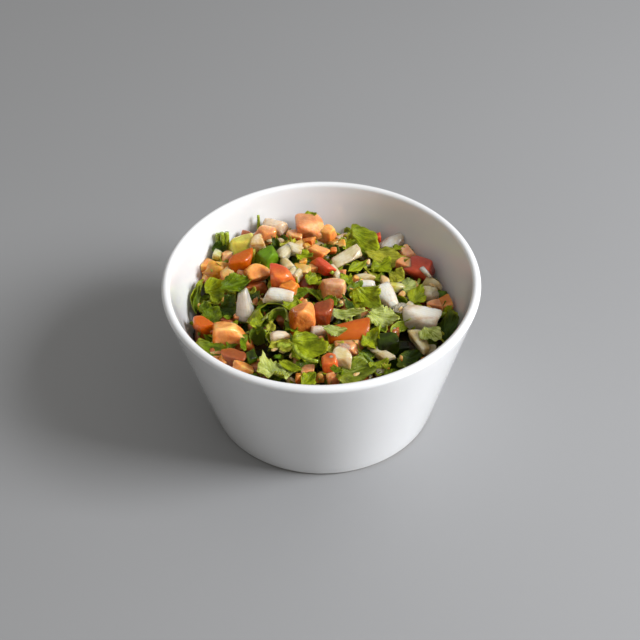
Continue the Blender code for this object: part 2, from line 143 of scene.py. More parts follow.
# Skin is smoother than flesh: its own coordinates are shrunk by this, which widens its bumps
SKIN_GRAIN = 0.35
# Onion: x, y, lift, length, depth, thickness, turn, tilt, roll, bend, taper, colour
ONION_PIECES = (
    (-18.4, 50, 6.5, 9.5, 6.5, 6.5, -18, 0, 10, 0.3, 0.2, "rosy"),
    (-25, 32.3, 2.6, 5.6, 5, 8, 0, 0, 0, 0.2, 0.2, "tan"),
    (-10.2, 30.4, 3.4, 7, 5, 4.4, -20, 0, 0, 0.3, 0.2, "cream"),
    (-14.3, 27.5, 3.4, 7, 5.5, 3.4, 60, 0, 24, 0.4, 0.2, "clear"),
    (-13.4, 21.5, 3.2, 7, 5, 3, 115, 0, 12, 0.5, 0.35, "cream"),
    (-11.2, 17, 2.8, 5.5, 3.6, 2.8, 80, 0, 0, 0.4, 0.3, "cream"),
    (-9, 15.6, 2.4, 6.5, 3.5, 3, 70, 0, 0, 0.4, 0.3, "cream"),
    (-15.7, 5.4, 4.8, 10.8, 6.5, 3.2, -10, 0, 16, 0.5, 0.1, "white"),
    (10.5, 30.2, 4.2, 14.5, 5.4, 3.0, 38, 4, 20, 0.06, 0.0, "clear"),
    (29.5, 42.3, 4, 10.5, 6.5, 3.6, 32, 12, 30, 0.3, 0.25, "lilac"),
    (9, 45, 2.5, 5, 4, 3, 20, 0, 0, 0.4, 0.1, "rosy"),
    (16.8, 17.8, 2.6, 7.5, 3, 3.2, -3, 0, 0, 0.2, 0.1, "cream"),
    (16.8, 13.6, 2.2, 8.2, 3.4, 3, -3, 0, 0, 0.2, 0.1, "white"),
    (25, 6.6, 4, 12, 8.5, 4, -62, 0, 14, 0.2, 0.55, "white"),
    (37.8, -4.4, 4.5, 13, 9.5, 6.2, -22, 0, 12, 0.2, 0.1, "white"),
    (36.6, -18.2, 3.2, 11.5, 5.6, 4, -74, 4, 12, 0.15, 0.4, "cream"),
    (40, -21.5, 0.8, 5, 4.4, 3.4, 0, 0, 0, 0.3, 0.2, "clear"),
    (-1.2, -14.4, 1.4, 6.8, 5, 4.4, 10, 0, 0, 0.3, 0.2, "rosy"),
    (6.8, -28.4, 3.4, 7.4, 6.6, 7.2, -18, 0, 0, 0.0, 0.05, "cream"),
    (21.7, -24.8, 1.6, 9, 4.2, 3, -42, 0, 20, 0.2, 0.2, "cream"),
    (-29.8, 1.6, 3.6, 12.5, 7.4, 5.5, 90, 74, 0, 0.2, 0.4, "lilac"),
    (-15.8, -15.4, 4.6, 6.8, 4.4, 3, 8, 0, 18, 0.4, 0.4, "rosy"),
    (42.6, 9, 1.4, 5.5, 4.5, 5, 0, 0, 0, 0.2, 0.2, "clear"),
    (41.4, 24.4, 6.2, 6, 2.4, 3, -60, 0, 25, 0.5, 0.4, "white"),
    (44.4, 17.4, 2.8, 6.8, 5, 3.6, -40, 0, 16, 0.4, 0.4, "cream"),
    (28.8, 14.4, 2.6, 6, 4.2, 3.8, 5, 0, 0, 0.2, 0.2, "yellow"),
    (-41.2, 31.2, 3.4, 4.4, 4, 4, -30, 0, 0, 0.1, 0.1, "yellow"),
    (-40.5, -21.5, 0.6, 4, 3, 2.5, 0, 0, 0, 0.3, 0.2, "tan"),
    (5.4, 19.3, 2.8, 7.5, 3, 2.6, -65, 0, 0, 0.4, 0.2, "cream"),
    (25, 17, 4.6, 4.6, 3.4, 3, 100, 0, 0, 0.2, 0.1, "tan"),
)
# Green chilli: x, y, lift, length, depth, height, turn, tilt, roll, the side with skin, lightness, which
# darkens pieces that lie in shadow as painted shade
CHILLI_PIECES = (
    (-20.6, 24.6, 3.4, 7.0, 6.2, 6.6, 38, 0, 0, "right", 1.0),
    (24, -20.6, 1.4, 8.4, 7, 8, 8, 0, 0, "all", 0.5),
    (28.6, -22.6, -0.4, 7, 5, 5, 0, 0, 0, "all", 0.12),
)
# Coriander leaves: x, y, lift, length, width, turn, tilt, roll, curl, outline, colour
LEAVES = (
    (-3.7, 63.2, 15.2, 4.4, 3.8, 0, 0, 18, 0.6, "frilly", "bright"),
    (-17.6, 31.5, 2.5, 10, 9, 20, 0, 22, 0.9, "frilly", "dark"),
    (-29.5, 36, 5.6, 5, 3.5, 10, 0, 0, 0.4, "frilly", "bright"),
    (-41, 12.4, 4.0, 14, 10, 16, 0, 34, 0.8, "saw", "bright"),
    (-32.8, 13.8, 5.0, 11.5, 9, 24, 0, 28, 0.4, "saw", "mid"),
    (-35.5, 1.5, 2.4, 11, 12, -10, 0, 48, 0.6, "frilly", "dark"),
    (-42, -0.5, 2, 9, 8, 60, 40, 10, 0.4, "pointed", "mid"),
    (-44.5, 3.5, 3, 9, 5.5, 80, 55, 0, 0.5, "pointed", "mid"),
    (-49.5, 12, 3, 15, 5, 80, 15, 65, 0.5, "pointed", "bright"),
    (-48.5, 9, 3.2, 12, 4, 84, 20, 60, 0.4, "pointed", "mid"),
    (-40.4, 35.6, 5.0, 7.5, 6.5, 20, 0, 55, 0.8, "lobed", "dark"),
    (-6.6, 27.4, 3.8, 7.5, 6.5, -20, 0, 18, 0.5, "frilly", "bright"),
    (-4, 14, 3.2, 8, 7.5, 60, 0, 30, 0.5, "jagged", "bright"),
    (10, 39.5, 3, 8.5, 7, 10, 0, 15, 0.5, "frilly", "bright"),
    (5, 33.5, 1, 7.5, 7, -30, 0, 20, 0.5, "lobed", "dark"),
    (18, 42, 4.6, 17, 12.5, -46, 0, 22, 0.5, "broad", "bright"),
    (27, 33.4, 4.4, 18, 10, -18, 0, 14, 0.4, "pointed", "yellowish"),
    (31.5, 39.2, 5.8, 4.5, 4, 0, 0, 0, 0.4, "frilly", "bright"),
    (36.5, 39, 2, 7, 5, 60, 30, 0, 0.5, "lobed", "dark"),
    (14, 24, 3.6, 9.5, 4.8, 42, 0, 18, 0.5, "pointed", "bright"),
    (24, 27, 2.4, 12, 9, 0, 0, 14, 0.5, "broad", "bright"),
    (30, 21.8, 4.2, 10.4, 8, -34, 0, 22, 0.2, "rhomb", "yellowish"),
    (22, 19, 3, 5, 4.5, 40, 0, 0, 0.4, "frilly", "bright"),
    (34.5, 15.6, 3.2, 9, 7.5, 30, 0, 20, 0.7, "jagged", "pale"),
    (37.4, 9.6, 3.8, 11, 7.5, 56, 15, 20, 0.5, "pointed", "bright"),
    (10.5, 15, 2.2, 7.5, 6.5, 30, 0, 14, 0.5, "frilly", "bright"),
    (17.6, 5.2, 3.4, 14, 12.5, -55, 0, 20, 0.5, "saw", "bright"),
    (23.6, -6, 3.4, 13, 9.5, -24, 0, 20, 0.8, "frilly", "pale"),
    (48, -8, 4.2, 18, 8, 64, 32, 0, 0.5, "pointed", "dark"),
    (49.5, -3.5, 5.5, 9, 4, 66, 36, 0, 0.5, "pointed", "bright"),
    (9.6, -4.4, 3.2, 11.5, 5.5, 0, 0, 18, 0.5, "frilly", "pale"),
    (5.2, -13.6, 6.0, 8.5, 5, 0, 0, 20, 0.5, "frilly", "pale"),
    (18, -18.6, 3.6, 11, 8.5, 48, 12, 10, 1.2, "pointed", "bright"),
    (40, -13.6, 6.8, 13, 8.5, -62, 0, 4, 0.6, "pointed", "pale"),
    (11.4, -32.6, 3, 16.5, 11.5, 18, 0, 26, 0.35, "broad", "olive"),
    (20.5, -31, 2.4, 8.5, 7, 20, 0, 18, 0.5, "broad", "bright"),
    (4.8, -32.5, 7, 4.5, 3.6, -20, 0, 10, 0.4, "frilly", "mid"),
    (17.5, -24, 1.4, 7, 6, 0, 0, 10, 0.5, "lobed", "dark"),
    (32, -26.4, 1.6, 11, 7, 30, 0, 24, 0.4, "lobed", "dark"),
    (-23, -7.5, 2.2, 8, 6, 30, 0, 30, 0.8, "lobed", "mid"),
    (-11.2, -11, 2.8, 7.5, 7, -60, 0, 14, 0.8, "jagged", "mid"),
    (-41, -18.5, 2.4, 13, 7, -22, 0, 20, 0.6, "broad", "mid"),
    (-29.2, -17.5, 2.8, 12, 4.4, 84, 0, 50, 0.5, "pointed", "mid"),
    (-19, -16, 2.4, 12, 5, 84, 0, 35, 0.6, "jagged", "bright"),
    (-19, -11, 4.6, 6, 4.6, 60, 30, 0, 0.5, "frilly", "yellowish"),
    (-16.5, -19.3, 3.4, 8.5, 6, 15, 0, 20, 0.6, "frilly", "yellowish"),
    (-11.5, 0.6, 3.4, 11.5, 6, 32, 0, 18, 0.5, "pointed", "bright"),
    (-24.7, -7.6, 3.6, 9.5, 4.6, 48, 0, 20, 0.5, "pointed", "bright"),
    (-6, -21.6, 3.8, 14, 13, -22, 0, 18, 0.35, "scallop", "bright"),
    (-17.4, -31.5, 4, 14, 13.5, 120, 0, 24, 0.5, "fan", "pale"),
    (-11.5, -30.5, 3.4, 9, 4.5, -32, 0, 20, 0.5, "jagged", "bright"),
    (-5.5, -36.8, 2.4, 8, 7, 60, 0, 20, 0.5, "lobed", "bright"),
    (-13, -21, 3.6, 8, 4.5, 10, 0, 20, 0.8, "jagged", "yellowish"),
    (-34, -16, 2, 9, 6, 40, 0, 30, 0.6, "pointed", "mid"),
    (-9, 5.5, 2.6, 9, 6, 20, 0, 20, 0.6, "pointed", "mid"),
    (3, 1.5, 2.4, 9, 6, -10, 0, 20, 0.7, "jagged", "mid"),
    (13, 10, 2, 9, 6.5, 40, 0, 20, 0.7, "lobed", "mid"),
)
# A leaf curled on its edge into most of a ring: x, y, lift, radius, width, how far it leans out as
# it rises, the arc it covers, turn, colour
CURLED_LEAVES = (
    (-16.6, -7.2, 1.8, 3.2, 5.5, 0.15, 250, 175, "mid"),
    (-16.8, -6.8, 3.8, 5.0, 3.4, -0.6, 200, 172, "pale"),
    (-17.6, -6.0, 3.0, 7.8, 7.0, -0.9, 200, 182, "bright"),
    (-24.3, -17, -0.4, 3.0, 8.0, 0.05, 230, 185, "dark"),
    (31, -14, 1.5, 4.5, 3.5, 0.4, 150, 200, "bright"),
)
# Stems: x, y, lift, length, thickness, bend, turn, tilt
STEMS = (
    (-25, 55, 9.8, 7, 1.3, 14, 80, 72),
    (-40.8, 39.6, 6.0, 8.6, 2.6, 8, 80, 82),
    (-38.9, 39.2, 6.2, 8.6, 2.4, 12, 100, 84),
    (-37.3, 38.8, 5.8, 8.2, 2.2, 15, 60, 80),
    (-40, 25, 4, 8.5, 1.6, 8, 38, 4),
    (-38.6, 22.6, 3.6, 5.5, 1.2, 15, -60, 8),
    (-7.4, -26, 5.2, 13, 1.7, 75, -44, 0),
    (20.6, -14.4, 5, 7, 1.3, 20, 62, 45),
    (-13.5, -20.6, 3, 6, 2.8, 20, 5, 0),
    (3, 20, 3.4, 6, 2.0, 15, -62, 5),
)
# Tomato seeds: x, y, lift, turn, tilt
SEEDS = (
    (19, 28.6, 4.4, 70, 20), (30, -0.4, 5.2, 60, 15), (12, -34.4, 5.8, 30, 0),
    (-17.5, -22, 3.6, 20, 0), (-11.5, -25.5, 2.6, 80, 10), (43.5, 16.6, 4.6, -40, 0),
    (-14, 21, 3.2, 10, 0), (8, 2, 2.2, 40, 0), (1.5, 30, 3.8, 120, 0), (27, 30, 3.2, 30, 0),
)
# Clear drops of the gel that holds the seeds: x, y, lift, length, width, height
GEL_DROPS = (
    (30, 0.4, 4.0, 6, 5, 3.2), (43.6, 11, 3, 5, 4, 3), (8, -22, 3.2, 5, 4, 2.4),
)
# Dark hollows in the heap, where nothing small lies: x, y, radius
HOLLOWS = ((-16.4, -8.5, 4.6), (-24.6, -20, 6.0), (30, -21, 5.5), (34.5, -14, 5.5))

# How far apart the scattered pieces lie: fillers between and below the named pieces, small bits,
# stems and seeds, and how many bits there are
FILLER_STEP = 5.6
UNDER_STEP = 6.4
BIT_STEP = 3.4
STEM_STEP = 15.0
SEED_STEP = 26.0
SMALL_BITS = 300


def linear(hex_colour):
    """An sRGB hex value as linear red, green and blue."""
    values = np.array([int(hex_colour[i : i + 2], 16) for i in (1, 3, 5)]) / 255
    low = values / 12.92
    high = ((values + 0.055) / 1.055) ** 2.4
    return tuple(float(v) for v in np.where(values <= 0.04045, low, high))


def outer_radius(z):
    """The outer wall: a straight line from the foot's radius to the rim's."""
    return FOOT_RADIUS + (RIM_RADIUS - FOOT_RADIUS) * z / BOWL_HEIGHT


def inner_radius(z):
    """The inner wall: the outer one less the wall, which thickens evenly from rim to foot."""
    return outer_radius(z) - FOOT_WALL + (FOOT_WALL - RIM_WALL) * z / BOWL_HEIGHT


def heap_level(x, y):
    """The mean surface: a flat dome, WALL_LEVEL plus DOME times one less the square of the distance
    over DOME_RADIUS, with a bell curve added for each swell."""
    level = WALL_LEVEL + DOME * (1 - (x**2 + y**2) / DOME_RADIUS**2)
    for middle_x, middle_y, spread, height in SWELLS:
        level = level + height * np.exp(-((x - middle_x) ** 2 + (y - middle_y) ** 2) / (2 * spread**2))
    return level


def keep_in_bowl(points):
    """Draws points in towards the axis where they would reach the inner wall."""
    reach = np.hypot(points[..., 0], points[..., 1])
    room = inner_radius(points[..., 2]) - WALL_GAP
    share = np.minimum(1, room / np.maximum(reach, 1e-6))
    points[..., 0] *= share
    points[..., 1] *= share
    return points


def about(axis, degrees):
    """The matrix that turns points about an axis, where 0 is X, 1 is Y and 2 is Z."""
    angle = math.radians(degrees)
    first, second = (axis + 1) % 3, (axis + 2) % 3
    matrix = np.eye(3)
    matrix[first, first] = matrix[second, second] = math.cos(angle)
    matrix[first, second] = -math.sin(angle)
    matrix[second, first] = math.sin(angle)
    return matrix


def lay(points, at, angles):
    """Rolls a piece made about the origin about X, lifts its +X end by the tilt, turns it about Z,
    and lays it on the heap along the line of sight: its middle is the point of the mean surface at
    x, y, moved up by the lift and forward by as much as the lift seems to move it back."""
    x, y, lift = at
    turn, tilt, roll = angles
    turned = about(2, turn) @ about(1, -tilt) @ about(0, roll)
    place = np.array([x, y - lift * BACK_SHIFT, heap_level(x, y) + lift])
    return keep_in_bowl(points @ turned.T + place)


def split(row, sides=3):
    """A table's row as its place, its sides' lengths, its angles and the rest."""
    return row[:3], row[3 : 3 + sides], row[3 + sides : 6 + sides], row[6 + sides :]


def halved(quads):
    """Two triangles for each quad."""
    return np.concatenate([quads[:, [0, 1, 2]], quads[:, [0, 2, 3]]])


def ring_body(rings, sides):
    """Triangles of a closed body whose points are rings of that many sides, then its two end points."""
    ring, side = np.meshgrid(np.arange(rings - 1), np.arange(sides), indexing="ij")
    near = ring * sides + side
    near_next = ring * sides + (side + 1) % sides
    quads = np.stack([near, near_next, near_next + sides, near + sides], -1).reshape(-1, 4)
    side = np.arange(sides)
    after = (side + 1) % sides
    last = (rings - 1) * sides
    first_fan = np.stack([after, side, np.full(sides, rings * sides)], -1)
    last_fan = np.stack([last + side, last + after, np.full(sides, rings * sides + 1)], -1)
    return np.concatenate([halved(quads), first_fan, last_fan])


def closed(rings, ends=None):
    """A body's points: its rings, then the points that close its two ends, which lie in the middle
    of the end rings if none are given."""
    if ends is None:
        ends = [rings[0].mean(0), rings[-1].mean(0)]
    return np.concatenate([rings.reshape(-1, 3), ends])


def cube_directions(squares):
    """Unit directions to the points of a grid on each face of a cube, spaced by equal angles, with
    the faces' shared edges merged, and the grid's outward triangles."""
    line = np.tan(np.linspace(-1, 1, squares + 1) * math.pi / 4)
    u, v = np.meshgrid(line, line, indexing="ij")
    i, j = np.meshgrid(np.arange(squares), np.arange(squares), indexing="ij")
    corner = (i * (squares + 1) + j).ravel()
    quad = np.stack([corner, corner + squares + 1, corner + squares + 2, corner + 1], -1)
    points, triangles = [], []
    for axis in range(3):
        for sign in (-1, 1):
            face = np.empty((squares + 1, squares + 1, 3))
            face[..., axis] = sign
            face[..., (axis + 1) % 3] = u
            face[..., (axis + 2) % 3] = v
            order = quad if sign > 0 else quad[:, ::-1]
            triangles.append(halved(order) + len(points) * u.size)
            points.append(face.reshape(-1, 3))
    points = np.concatenate(points)
    _, first, merged = np.unique(np.round(points, 6), axis=0, return_index=True, return_inverse=True)
    directions = points[first] / np.linalg.norm(points[first], axis=1)[:, None]
    return directions, merged.ravel()[np.concatenate(triangles)]


def grids():
    """The fine grid for named pieces and the coarse one for fillers."""
    return cube_directions(sizes().named_squares), cube_directions(sizes().filler_squares)


SIDES = {
    "right": (1, 0, 0), "left": (-1, 0, 0), "back": (0, 1, 0), "front": (0, -1, 0), "top": (0, 0, 1),
}
# A cut piece's planes lie this far from its middle, in half sides: its sides', its corners'
SIDE_REACH = (0.86, 1.06)
CORNER_REACH = (1.12, 1.42)
# How far a side with skin bulges, and how steep the waves that uneven a cut face are
SKIN_BULGE = 0.16
WAVE_PITCHES = (2.2, 3.7, 6.1, 9.5, 13.0)
# Random phases reach a little past a whole wave
WHOLE_WAVE = 6.3


def cut_cube(draw, directions, size, side, softness=10, skew=0.19, waver=0.05, corners=4):
    """A hand-cut cube, how much of each point belongs to its skin side, and how near each point is
    to an edge, from 0 on a flat side to 1 where sides meet. Six planes near a box's sides and some
    across its corners meet smoothly: along a direction d the surface lies at the sum of (n.d / h)
    to the power of the softness, over all planes that face d, to the power of -1 over the softness,
    where n is a plane's normal and h its distance. Low waves then uneven the faces."""
    normals = np.concatenate([np.eye(3), -np.eye(3), draw.choice((-1, 1), (corners, 3))])
    normals = normals + draw.normal(0, skew, normals.shape)
    normals /= np.linalg.norm(normals, axis=1)[:, None]
    away = np.concatenate([draw.uniform(*SIDE_REACH, 6), draw.uniform(*CORNER_REACH, corners)])
    facing = np.maximum(directions @ normals.T / away, 0) ** softness
    reach = facing.sum(1) ** (-1 / softness)
    points = directions * reach[:, None]
    skin = np.full(len(points), float(side == "all"))
    if side in SIDES:
        axis = np.array(SIDES[side], float)
        share = facing[:, np.argmax(normals[:6] @ axis)] / facing.sum(1)
        skin = np.clip((share - 0.25) * 2.5, 0, 1)
        points = points + SKIN_BULGE * share[:, None] * axis
    edge = np.clip(2 * (1 - facing.max(1) / facing.sum(1)), 0, 1)
    waves = np.zeros(len(points))
    for pitch in WAVE_PITCHES:
        heading = draw.normal(0, 1, 3)
        heading *= pitch / np.linalg.norm(heading)
        # A grid too coarse for the fine waves goes without them
        height = pitch**-0.7 if pitch**2 * 6 < len(points) else 0
        waves += np.sin(points @ heading + draw.uniform(0, WHOLE_WAVE)) * height
    points = points * (1 + waver * waves * (1 - 0.6 * skin))[:, None]
    return points * np.array(size) / 2, skin, edge


def bent_slab(draw, directions, size, bend, taper):
    """A slab of an onion's layer: a cut cube that narrows along its length by the taper, and which
    bends down across its width by the bend times half its depth times the square of the way."""
    points, _, edge = cut_cube(
        draw, directions, (2, 2, 2), "none", softness=15, skew=0.14, waver=0.045, corners=3
    )
    along, across = points[:, 0], points[:, 1].copy()
    points[:, 1] = across * (1 - taper * (0.5 + 0.5 * along))
    points = points * np.array(size) / 2
    points[:, 2] -= bend * size[1] / 2 * (across**2 - 0.33)
    points[:, 2] -= 0.08 * bend * size[0] * along**2
    return points, edge


OUTLINES = {
    "broad": dict(corner=2.2, lobe=0.08, teeth=0.03, count=15, cuts=(0.72, 1.6), ribs=(3.4, 0.05)),
    "lobed": dict(corner=2.0, lobe=0.20, teeth=0.04, count=14, cuts=(0.8,), ribs=(3.4, 0.05)),
    "scallop": dict(corner=2.3, lobe=0.10, teeth=0.06, count=16, cuts=(0.75,), ribs=(4.4, 0.06)),
    "frilly": dict(corner=2.0, lobe=0.24, teeth=0.11, count=15, cuts=(0.7,), ribs=(4.2, 0.07)),
    "jagged": dict(corner=1.7, lobe=0.10, teeth=0.07, count=17, cuts=(0.6, 0.75), ribs=(3.4, 0.06)),
    "pointed": dict(corner=1.35, lobe=0.05, teeth=0.03, count=14, cuts=(0.85,), ribs=(3.4, 0.05)),
    "rhomb": dict(corner=1.15, lobe=0.0, teeth=0.01, count=12, cuts=(), ribs=(3.4, 0.04)),
    "saw": dict(corner=1.8, lobe=0.12, teeth=0.08, count=19, cuts=(0.7,), ribs=(5.2, 0.08)),
    "fan": dict(corner=2.4, lobe=0.10, teeth=0.12, count=19, cuts=(0.55,), ribs=(8.0, 0.12)),
}


def leaf_faces(spokes, rings):
    """Triangles of a leaf: its top's rings from the middle out, then its underside's back in."""
    return ring_body(2 * rings, spokes)


def leaf_body(draw, length, width, curl, outline, spokes, rings, thickness):
    """A leaf as a closed thin body, with its points' places in the blade. In polar coordinates the
    outline is a superellipse, times uneven lobes, times uneven teeth, and cut off straight on some
    sides. The sheet is folded up along the midrib, rippled more towards the edge, creased along the
    veins that fan out from its stalk, and at last rolled about its short axis by the curl."""
    angle = np.linspace(0, 2 * math.pi, spokes, endpoint=False)
    power = outline["corner"]
    reach = (np.abs(np.cos(angle)) ** power + np.abs(np.sin(angle)) ** power) ** (-1 / power)
    phases = draw.uniform(0, WHOLE_WAVE, 5)
    lobes = 0.5 - 0.5 * np.cos(3 * angle + 0.4 * np.sin(angle + phases[0]))
    reach = reach * (1 - outline["lobe"] * lobes * (1 + 0.5 * np.sin(angle + phases[1])))
    teeth = 2 * np.abs(np.sin(outline["count"] * angle / 2 + 1.2 * np.sin(2 * angle + phases[2]))) - 1
    reach = reach * (1 + outline["teeth"] * teeth * (1 + 0.6 * np.sin(3 * angle + phases[3])))
    reach = reach * (1 + 0.07 * np.sin(2 * angle + phases[4]) + 0.05 * np.sin(5 * angle + phases[1]))
    for cut in outline["cuts"]:
        facing = np.cos(angle - draw.uniform(0, WHOLE_WAVE))
        reach = np.minimum(reach, cut / np.maximum(facing, 0.05))
    share = np.linspace(0, 1, rings + 1)[1:]
    share = np.concatenate([share, share[::-1]])
    u = np.append((share[:, None] * reach * np.cos(angle)).ravel(), [0, 0])
    v = np.append((share[:, None] * reach * np.sin(angle)).ravel(), [0, 0])
    out = np.append(np.repeat(share, spokes), [0, 0])
    around = np.append(np.tile(angle, len(share)), [0, 0])
    side = np.append(np.repeat((1.0, -1.0), rings * spokes), [1, -1])
    ribs, crease = outline["ribs"]
    crease = crease * np.abs(np.sin(ribs * np.arctan2(v, u + 0.95)))
    size = min(length, width)
    height = 0.24 * size * np.sqrt(v**2 + 0.02) * draw.uniform(-0.5, 1.7)
    height = height + 0.08 * size * out**2 * np.sin(3 * around + phases[0])
    height = height + 0.03 * size * out**3 * np.sin(8 * around + phases[2])
    height = height + size * crease * (0.3 + 0.7 * out)
    height = height + 0.03 * size * np.sin(5.5 * u + phases[3]) * np.sin(5 * v + phases[4])
    half = side * thickness / 2 * np.where(out > 0.99, 0.45, 1)
    x, y = u * length / 2, v * width / 2
    radius = length / (2 * max(curl, 0.05))
    bend = x / radius * (1 + 0.3 * np.sin(2 * v + phases[1]))
    from_axis = radius - (height + half)
    x, z = from_axis * np.sin(bend), radius - from_axis * np.cos(bend)
    return np.stack([x, y, z - z.mean()], -1), np.stack([u, v, side], -1)


# Rings and points round each, of a curled leaf, a stem and a seed or drop
STRIP_GRID = (40, 16)
STEM_GRID = (14, 12)
DROP_GRID = (9, 14)


def strip_body(draw, radius, width, sweep, lean, thickness=0.4):
    """A band on its edge, curled round: a rounded rectangle carried along an arc about Z, leaning
    outwards as it rises and lower towards its ends, with its radius and its width waving unevenly."""
    steps, sides = STRIP_GRID
    share = np.linspace(-1, 1, steps)
    turn = math.radians(sweep) / 2 * share
    around = np.linspace(0, 2 * math.pi, sides, endpoint=False)
    in_out = np.sign(np.cos(around)) * np.abs(np.cos(around)) ** 0.4 * thickness / 2
    up = np.sign(np.sin(around)) * np.abs(np.sin(around)) ** 0.5 * width / 2
    phases = draw.uniform(0, WHOLE_WAVE, 5)
    spread = radius * (1 + 0.08 * np.sin(2.3 * turn + phases[0]) + 0.025 * np.sin(7 * turn + phases[1]))
    tall = 1 + 0.14 * np.sin(2.7 * turn + phases[2])
    tall = tall + 0.05 * np.sin(9.5 * turn + phases[3] + 2 * share**2)
    tall = tall * (1 - 0.7 * share**6)
    slope = lean + 0.15 * np.sin(2 * turn + phases[4])
    from_axis = spread[:, None] + in_out + slope[:, None] * up
    x, y = from_axis * np.sin(turn)[:, None], -from_axis * np.cos(turn)[:, None]
    points = closed(np.stack([x, y, up * tall[:, None]], -1))
    along = np.append(np.repeat(share, sides), [-1, 1])
    across = np.append(np.tile(2 * up / width, steps), [0, 0])
    side = np.append(np.tile(np.sign(in_out + 1e-9), steps), [1, 1])
    return points, np.stack([along, across, side], -1)


def stem_body(length, thickness, bend):
    """A stem: a round section with shallow ribs carried along an arc, thinning to its far end."""
    steps, sides = STEM_GRID
    sweep = math.radians(max(bend, 1))
    radius = length / sweep
    turn = sweep * np.linspace(-0.5, 0.5, steps)[:, None]
    around = np.linspace(0, 2 * math.pi, sides, endpoint=False)
    section = thickness / 2 * (1 + 0.08 * np.cos(5 * around)) * np.linspace(1.1, 0.8, steps)[:, None]
    from_axis = radius + section * np.cos(around)
    x, y = from_axis * np.sin(turn), radius - from_axis * np.cos(turn)
    return closed(np.stack([x, y, section * np.sin(around)], -1))


def drop_body(length, width, height, sharp):
    """A seed or a drop: an ellipsoid whose section shrinks towards its +X end by the sharpness."""
    rings, sides = DROP_GRID
    down = np.linspace(0, math.pi, rings + 2)[1:-1, None]
    around = np.linspace(0, 2 * math.pi, sides, endpoint=False)
    along = -np.cos(down)
    girth = np.sin(down) * (1 - sharp * (along + 1) / 2)
    x = np.repeat(along, sides, 1) * length / 2
    y, z = girth * np.cos(around) * width / 2, girth * np.sin(around) * height / 2
    return closed(np.stack([x, y, z], -1), [[-length / 2, 0, 0], [length / 2, 0, 0]])


def arc(centre, radius, start, end, steps):
    """Points on a circle's arc, from one angle to another."""
    angles = np.radians(np.linspace(start, end, steps + 1))
    return np.stack([centre[0] + radius * np.cos(angles), centre[1] + radius * np.sin(angles)], -1)


def wall_line(start, end, steps):
    """Points between two points of the profile, without either."""
    share = np.linspace(0, 1, steps + 2)[1:-1, None]
    return np.array(start) * (1 - share) + np.array(end) * share


def bowl_profile():
    """Half of the bowl's section: inner floor, inner corner, wall, round rim, outer wall, foot."""
    slope = math.atan2(RIM_RADIUS - FOOT_RADIUS, BOWL_HEIGHT)
    lean = math.degrees(slope)
    corner_height = FLOOR_TOP + INNER_CORNER
    touching = inner_radius(corner_height - INNER_CORNER * math.sin(slope))
    corner = (touching - INNER_CORNER * math.cos(slope), corner_height)
    rim = (RIM_RADIUS - RIM_WALL / 2, BOWL_HEIGHT - RIM_WALL / 2)
    foot = (FOOT_RADIUS - FOOT_CORNER, FOOT_CORNER)
    ring = FOOT_RADIUS - FOOT_CORNER - FOOT_RING_WIDTH
    floor = wall_line((0, FLOOR_TOP), (corner[0], FLOOR_TOP), 4)
    inside = arc(corner, INNER_CORNER, -90, -lean, 14)
    rim_round = arc(rim, RIM_WALL / 2, 180 - lean, -lean, 24)
    foot_round = arc(foot, FOOT_CORNER, -lean, -90, 10)
    recess = [(ring, 0), (ring - FOOT_RECESS * 0.3, FOOT_RECESS * 0.2), (ring - FOOT_RECESS, FOOT_RECESS)]
    under = wall_line(recess[-1], (0, FOOT_RECESS), 4)
    parts = [
        floor, inside, wall_line(inside[-1], rim_round[0], 12), rim_round,
        wall_line(rim_round[-1], foot_round[0], 12), foot_round, recess, under,
    ]
    return np.concatenate(parts)


def turned_rings(profile, sides):
    """The profile turned about the Z axis, a ring for each of its points."""
    around = np.linspace(0, 2 * math.pi, sides, endpoint=False)
    out, height = profile[:, :1], profile[:, 1:]
    return np.stack([out * np.cos(around), out * np.sin(around), np.repeat(height, sides, 1)], -1)


def outward(points, triangles):
    """The triangles, turned over if the body they close has a negative volume."""
    a, b, c = (points[triangles[:, k]] for k in range(3))
    if np.einsum("ij,ij->i", a, np.cross(b, c)).sum() < 0:
        return triangles[:, ::-1]
    return triangles


class Batch:
    """Pieces of one kind, joined into one mesh: their points, triangles and named values."""

    def __init__(self):
        self.points, self.triangles, self.values, self.count = [], [], {}, 0

    def add(self, points, triangles, at=None, angles=None, **values):
        """Takes a piece in, laid on the heap if its place is given."""
        if at is not None:
            points = lay(points, at, angles)
        self.triangles.append(outward(points - points.mean(0), triangles) + self.count)
        self.points.append(points)
        self.count += len(points)
        for name, value in values.items():
            value = np.asarray(value, float)
            if value.ndim < 2 and value.shape != (len(points),):
                value = np.broadcast_to(value, (len(points), *value.shape))
            self.values.setdefault(name, []).append(value)

    def build(self, name, material, slot=SALSA_SLOT, node=HEAP_NODE):
        """Makes the mesh, puts it under the body and hides the solid model's node it stands for. The slot is
        not used.
        """
        mesh = bpy.data.meshes.new(name)
        points = np.concatenate(self.points) * MM
        mesh.from_pydata(points.tolist(), [], np.concatenate(self.triangles).tolist())
        for value_name, parts in self.values.items():
            data = np.concatenate(parts)
            kind, field = ("FLOAT", "value") if data.ndim == 1 else ("FLOAT_VECTOR", "vector")
            layer = mesh.attributes.new(value_name, kind, "POINT")
            layer.data.foreach_set(field, data.astype(np.float32).ravel())
        mesh.shade_smooth()
        mesh.materials.append(material)
        piece = bpy.data.objects.new(name, mesh)
        bpy.context.scene.collection.objects.link(piece)
        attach(piece, BODY)
        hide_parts(node)


def new_material(name):
    """A material with nodes, and none in it yet."""
    material = bpy.data.materials.new(name)
    material.use_nodes = True
    material.node_tree.nodes.clear()
    return material


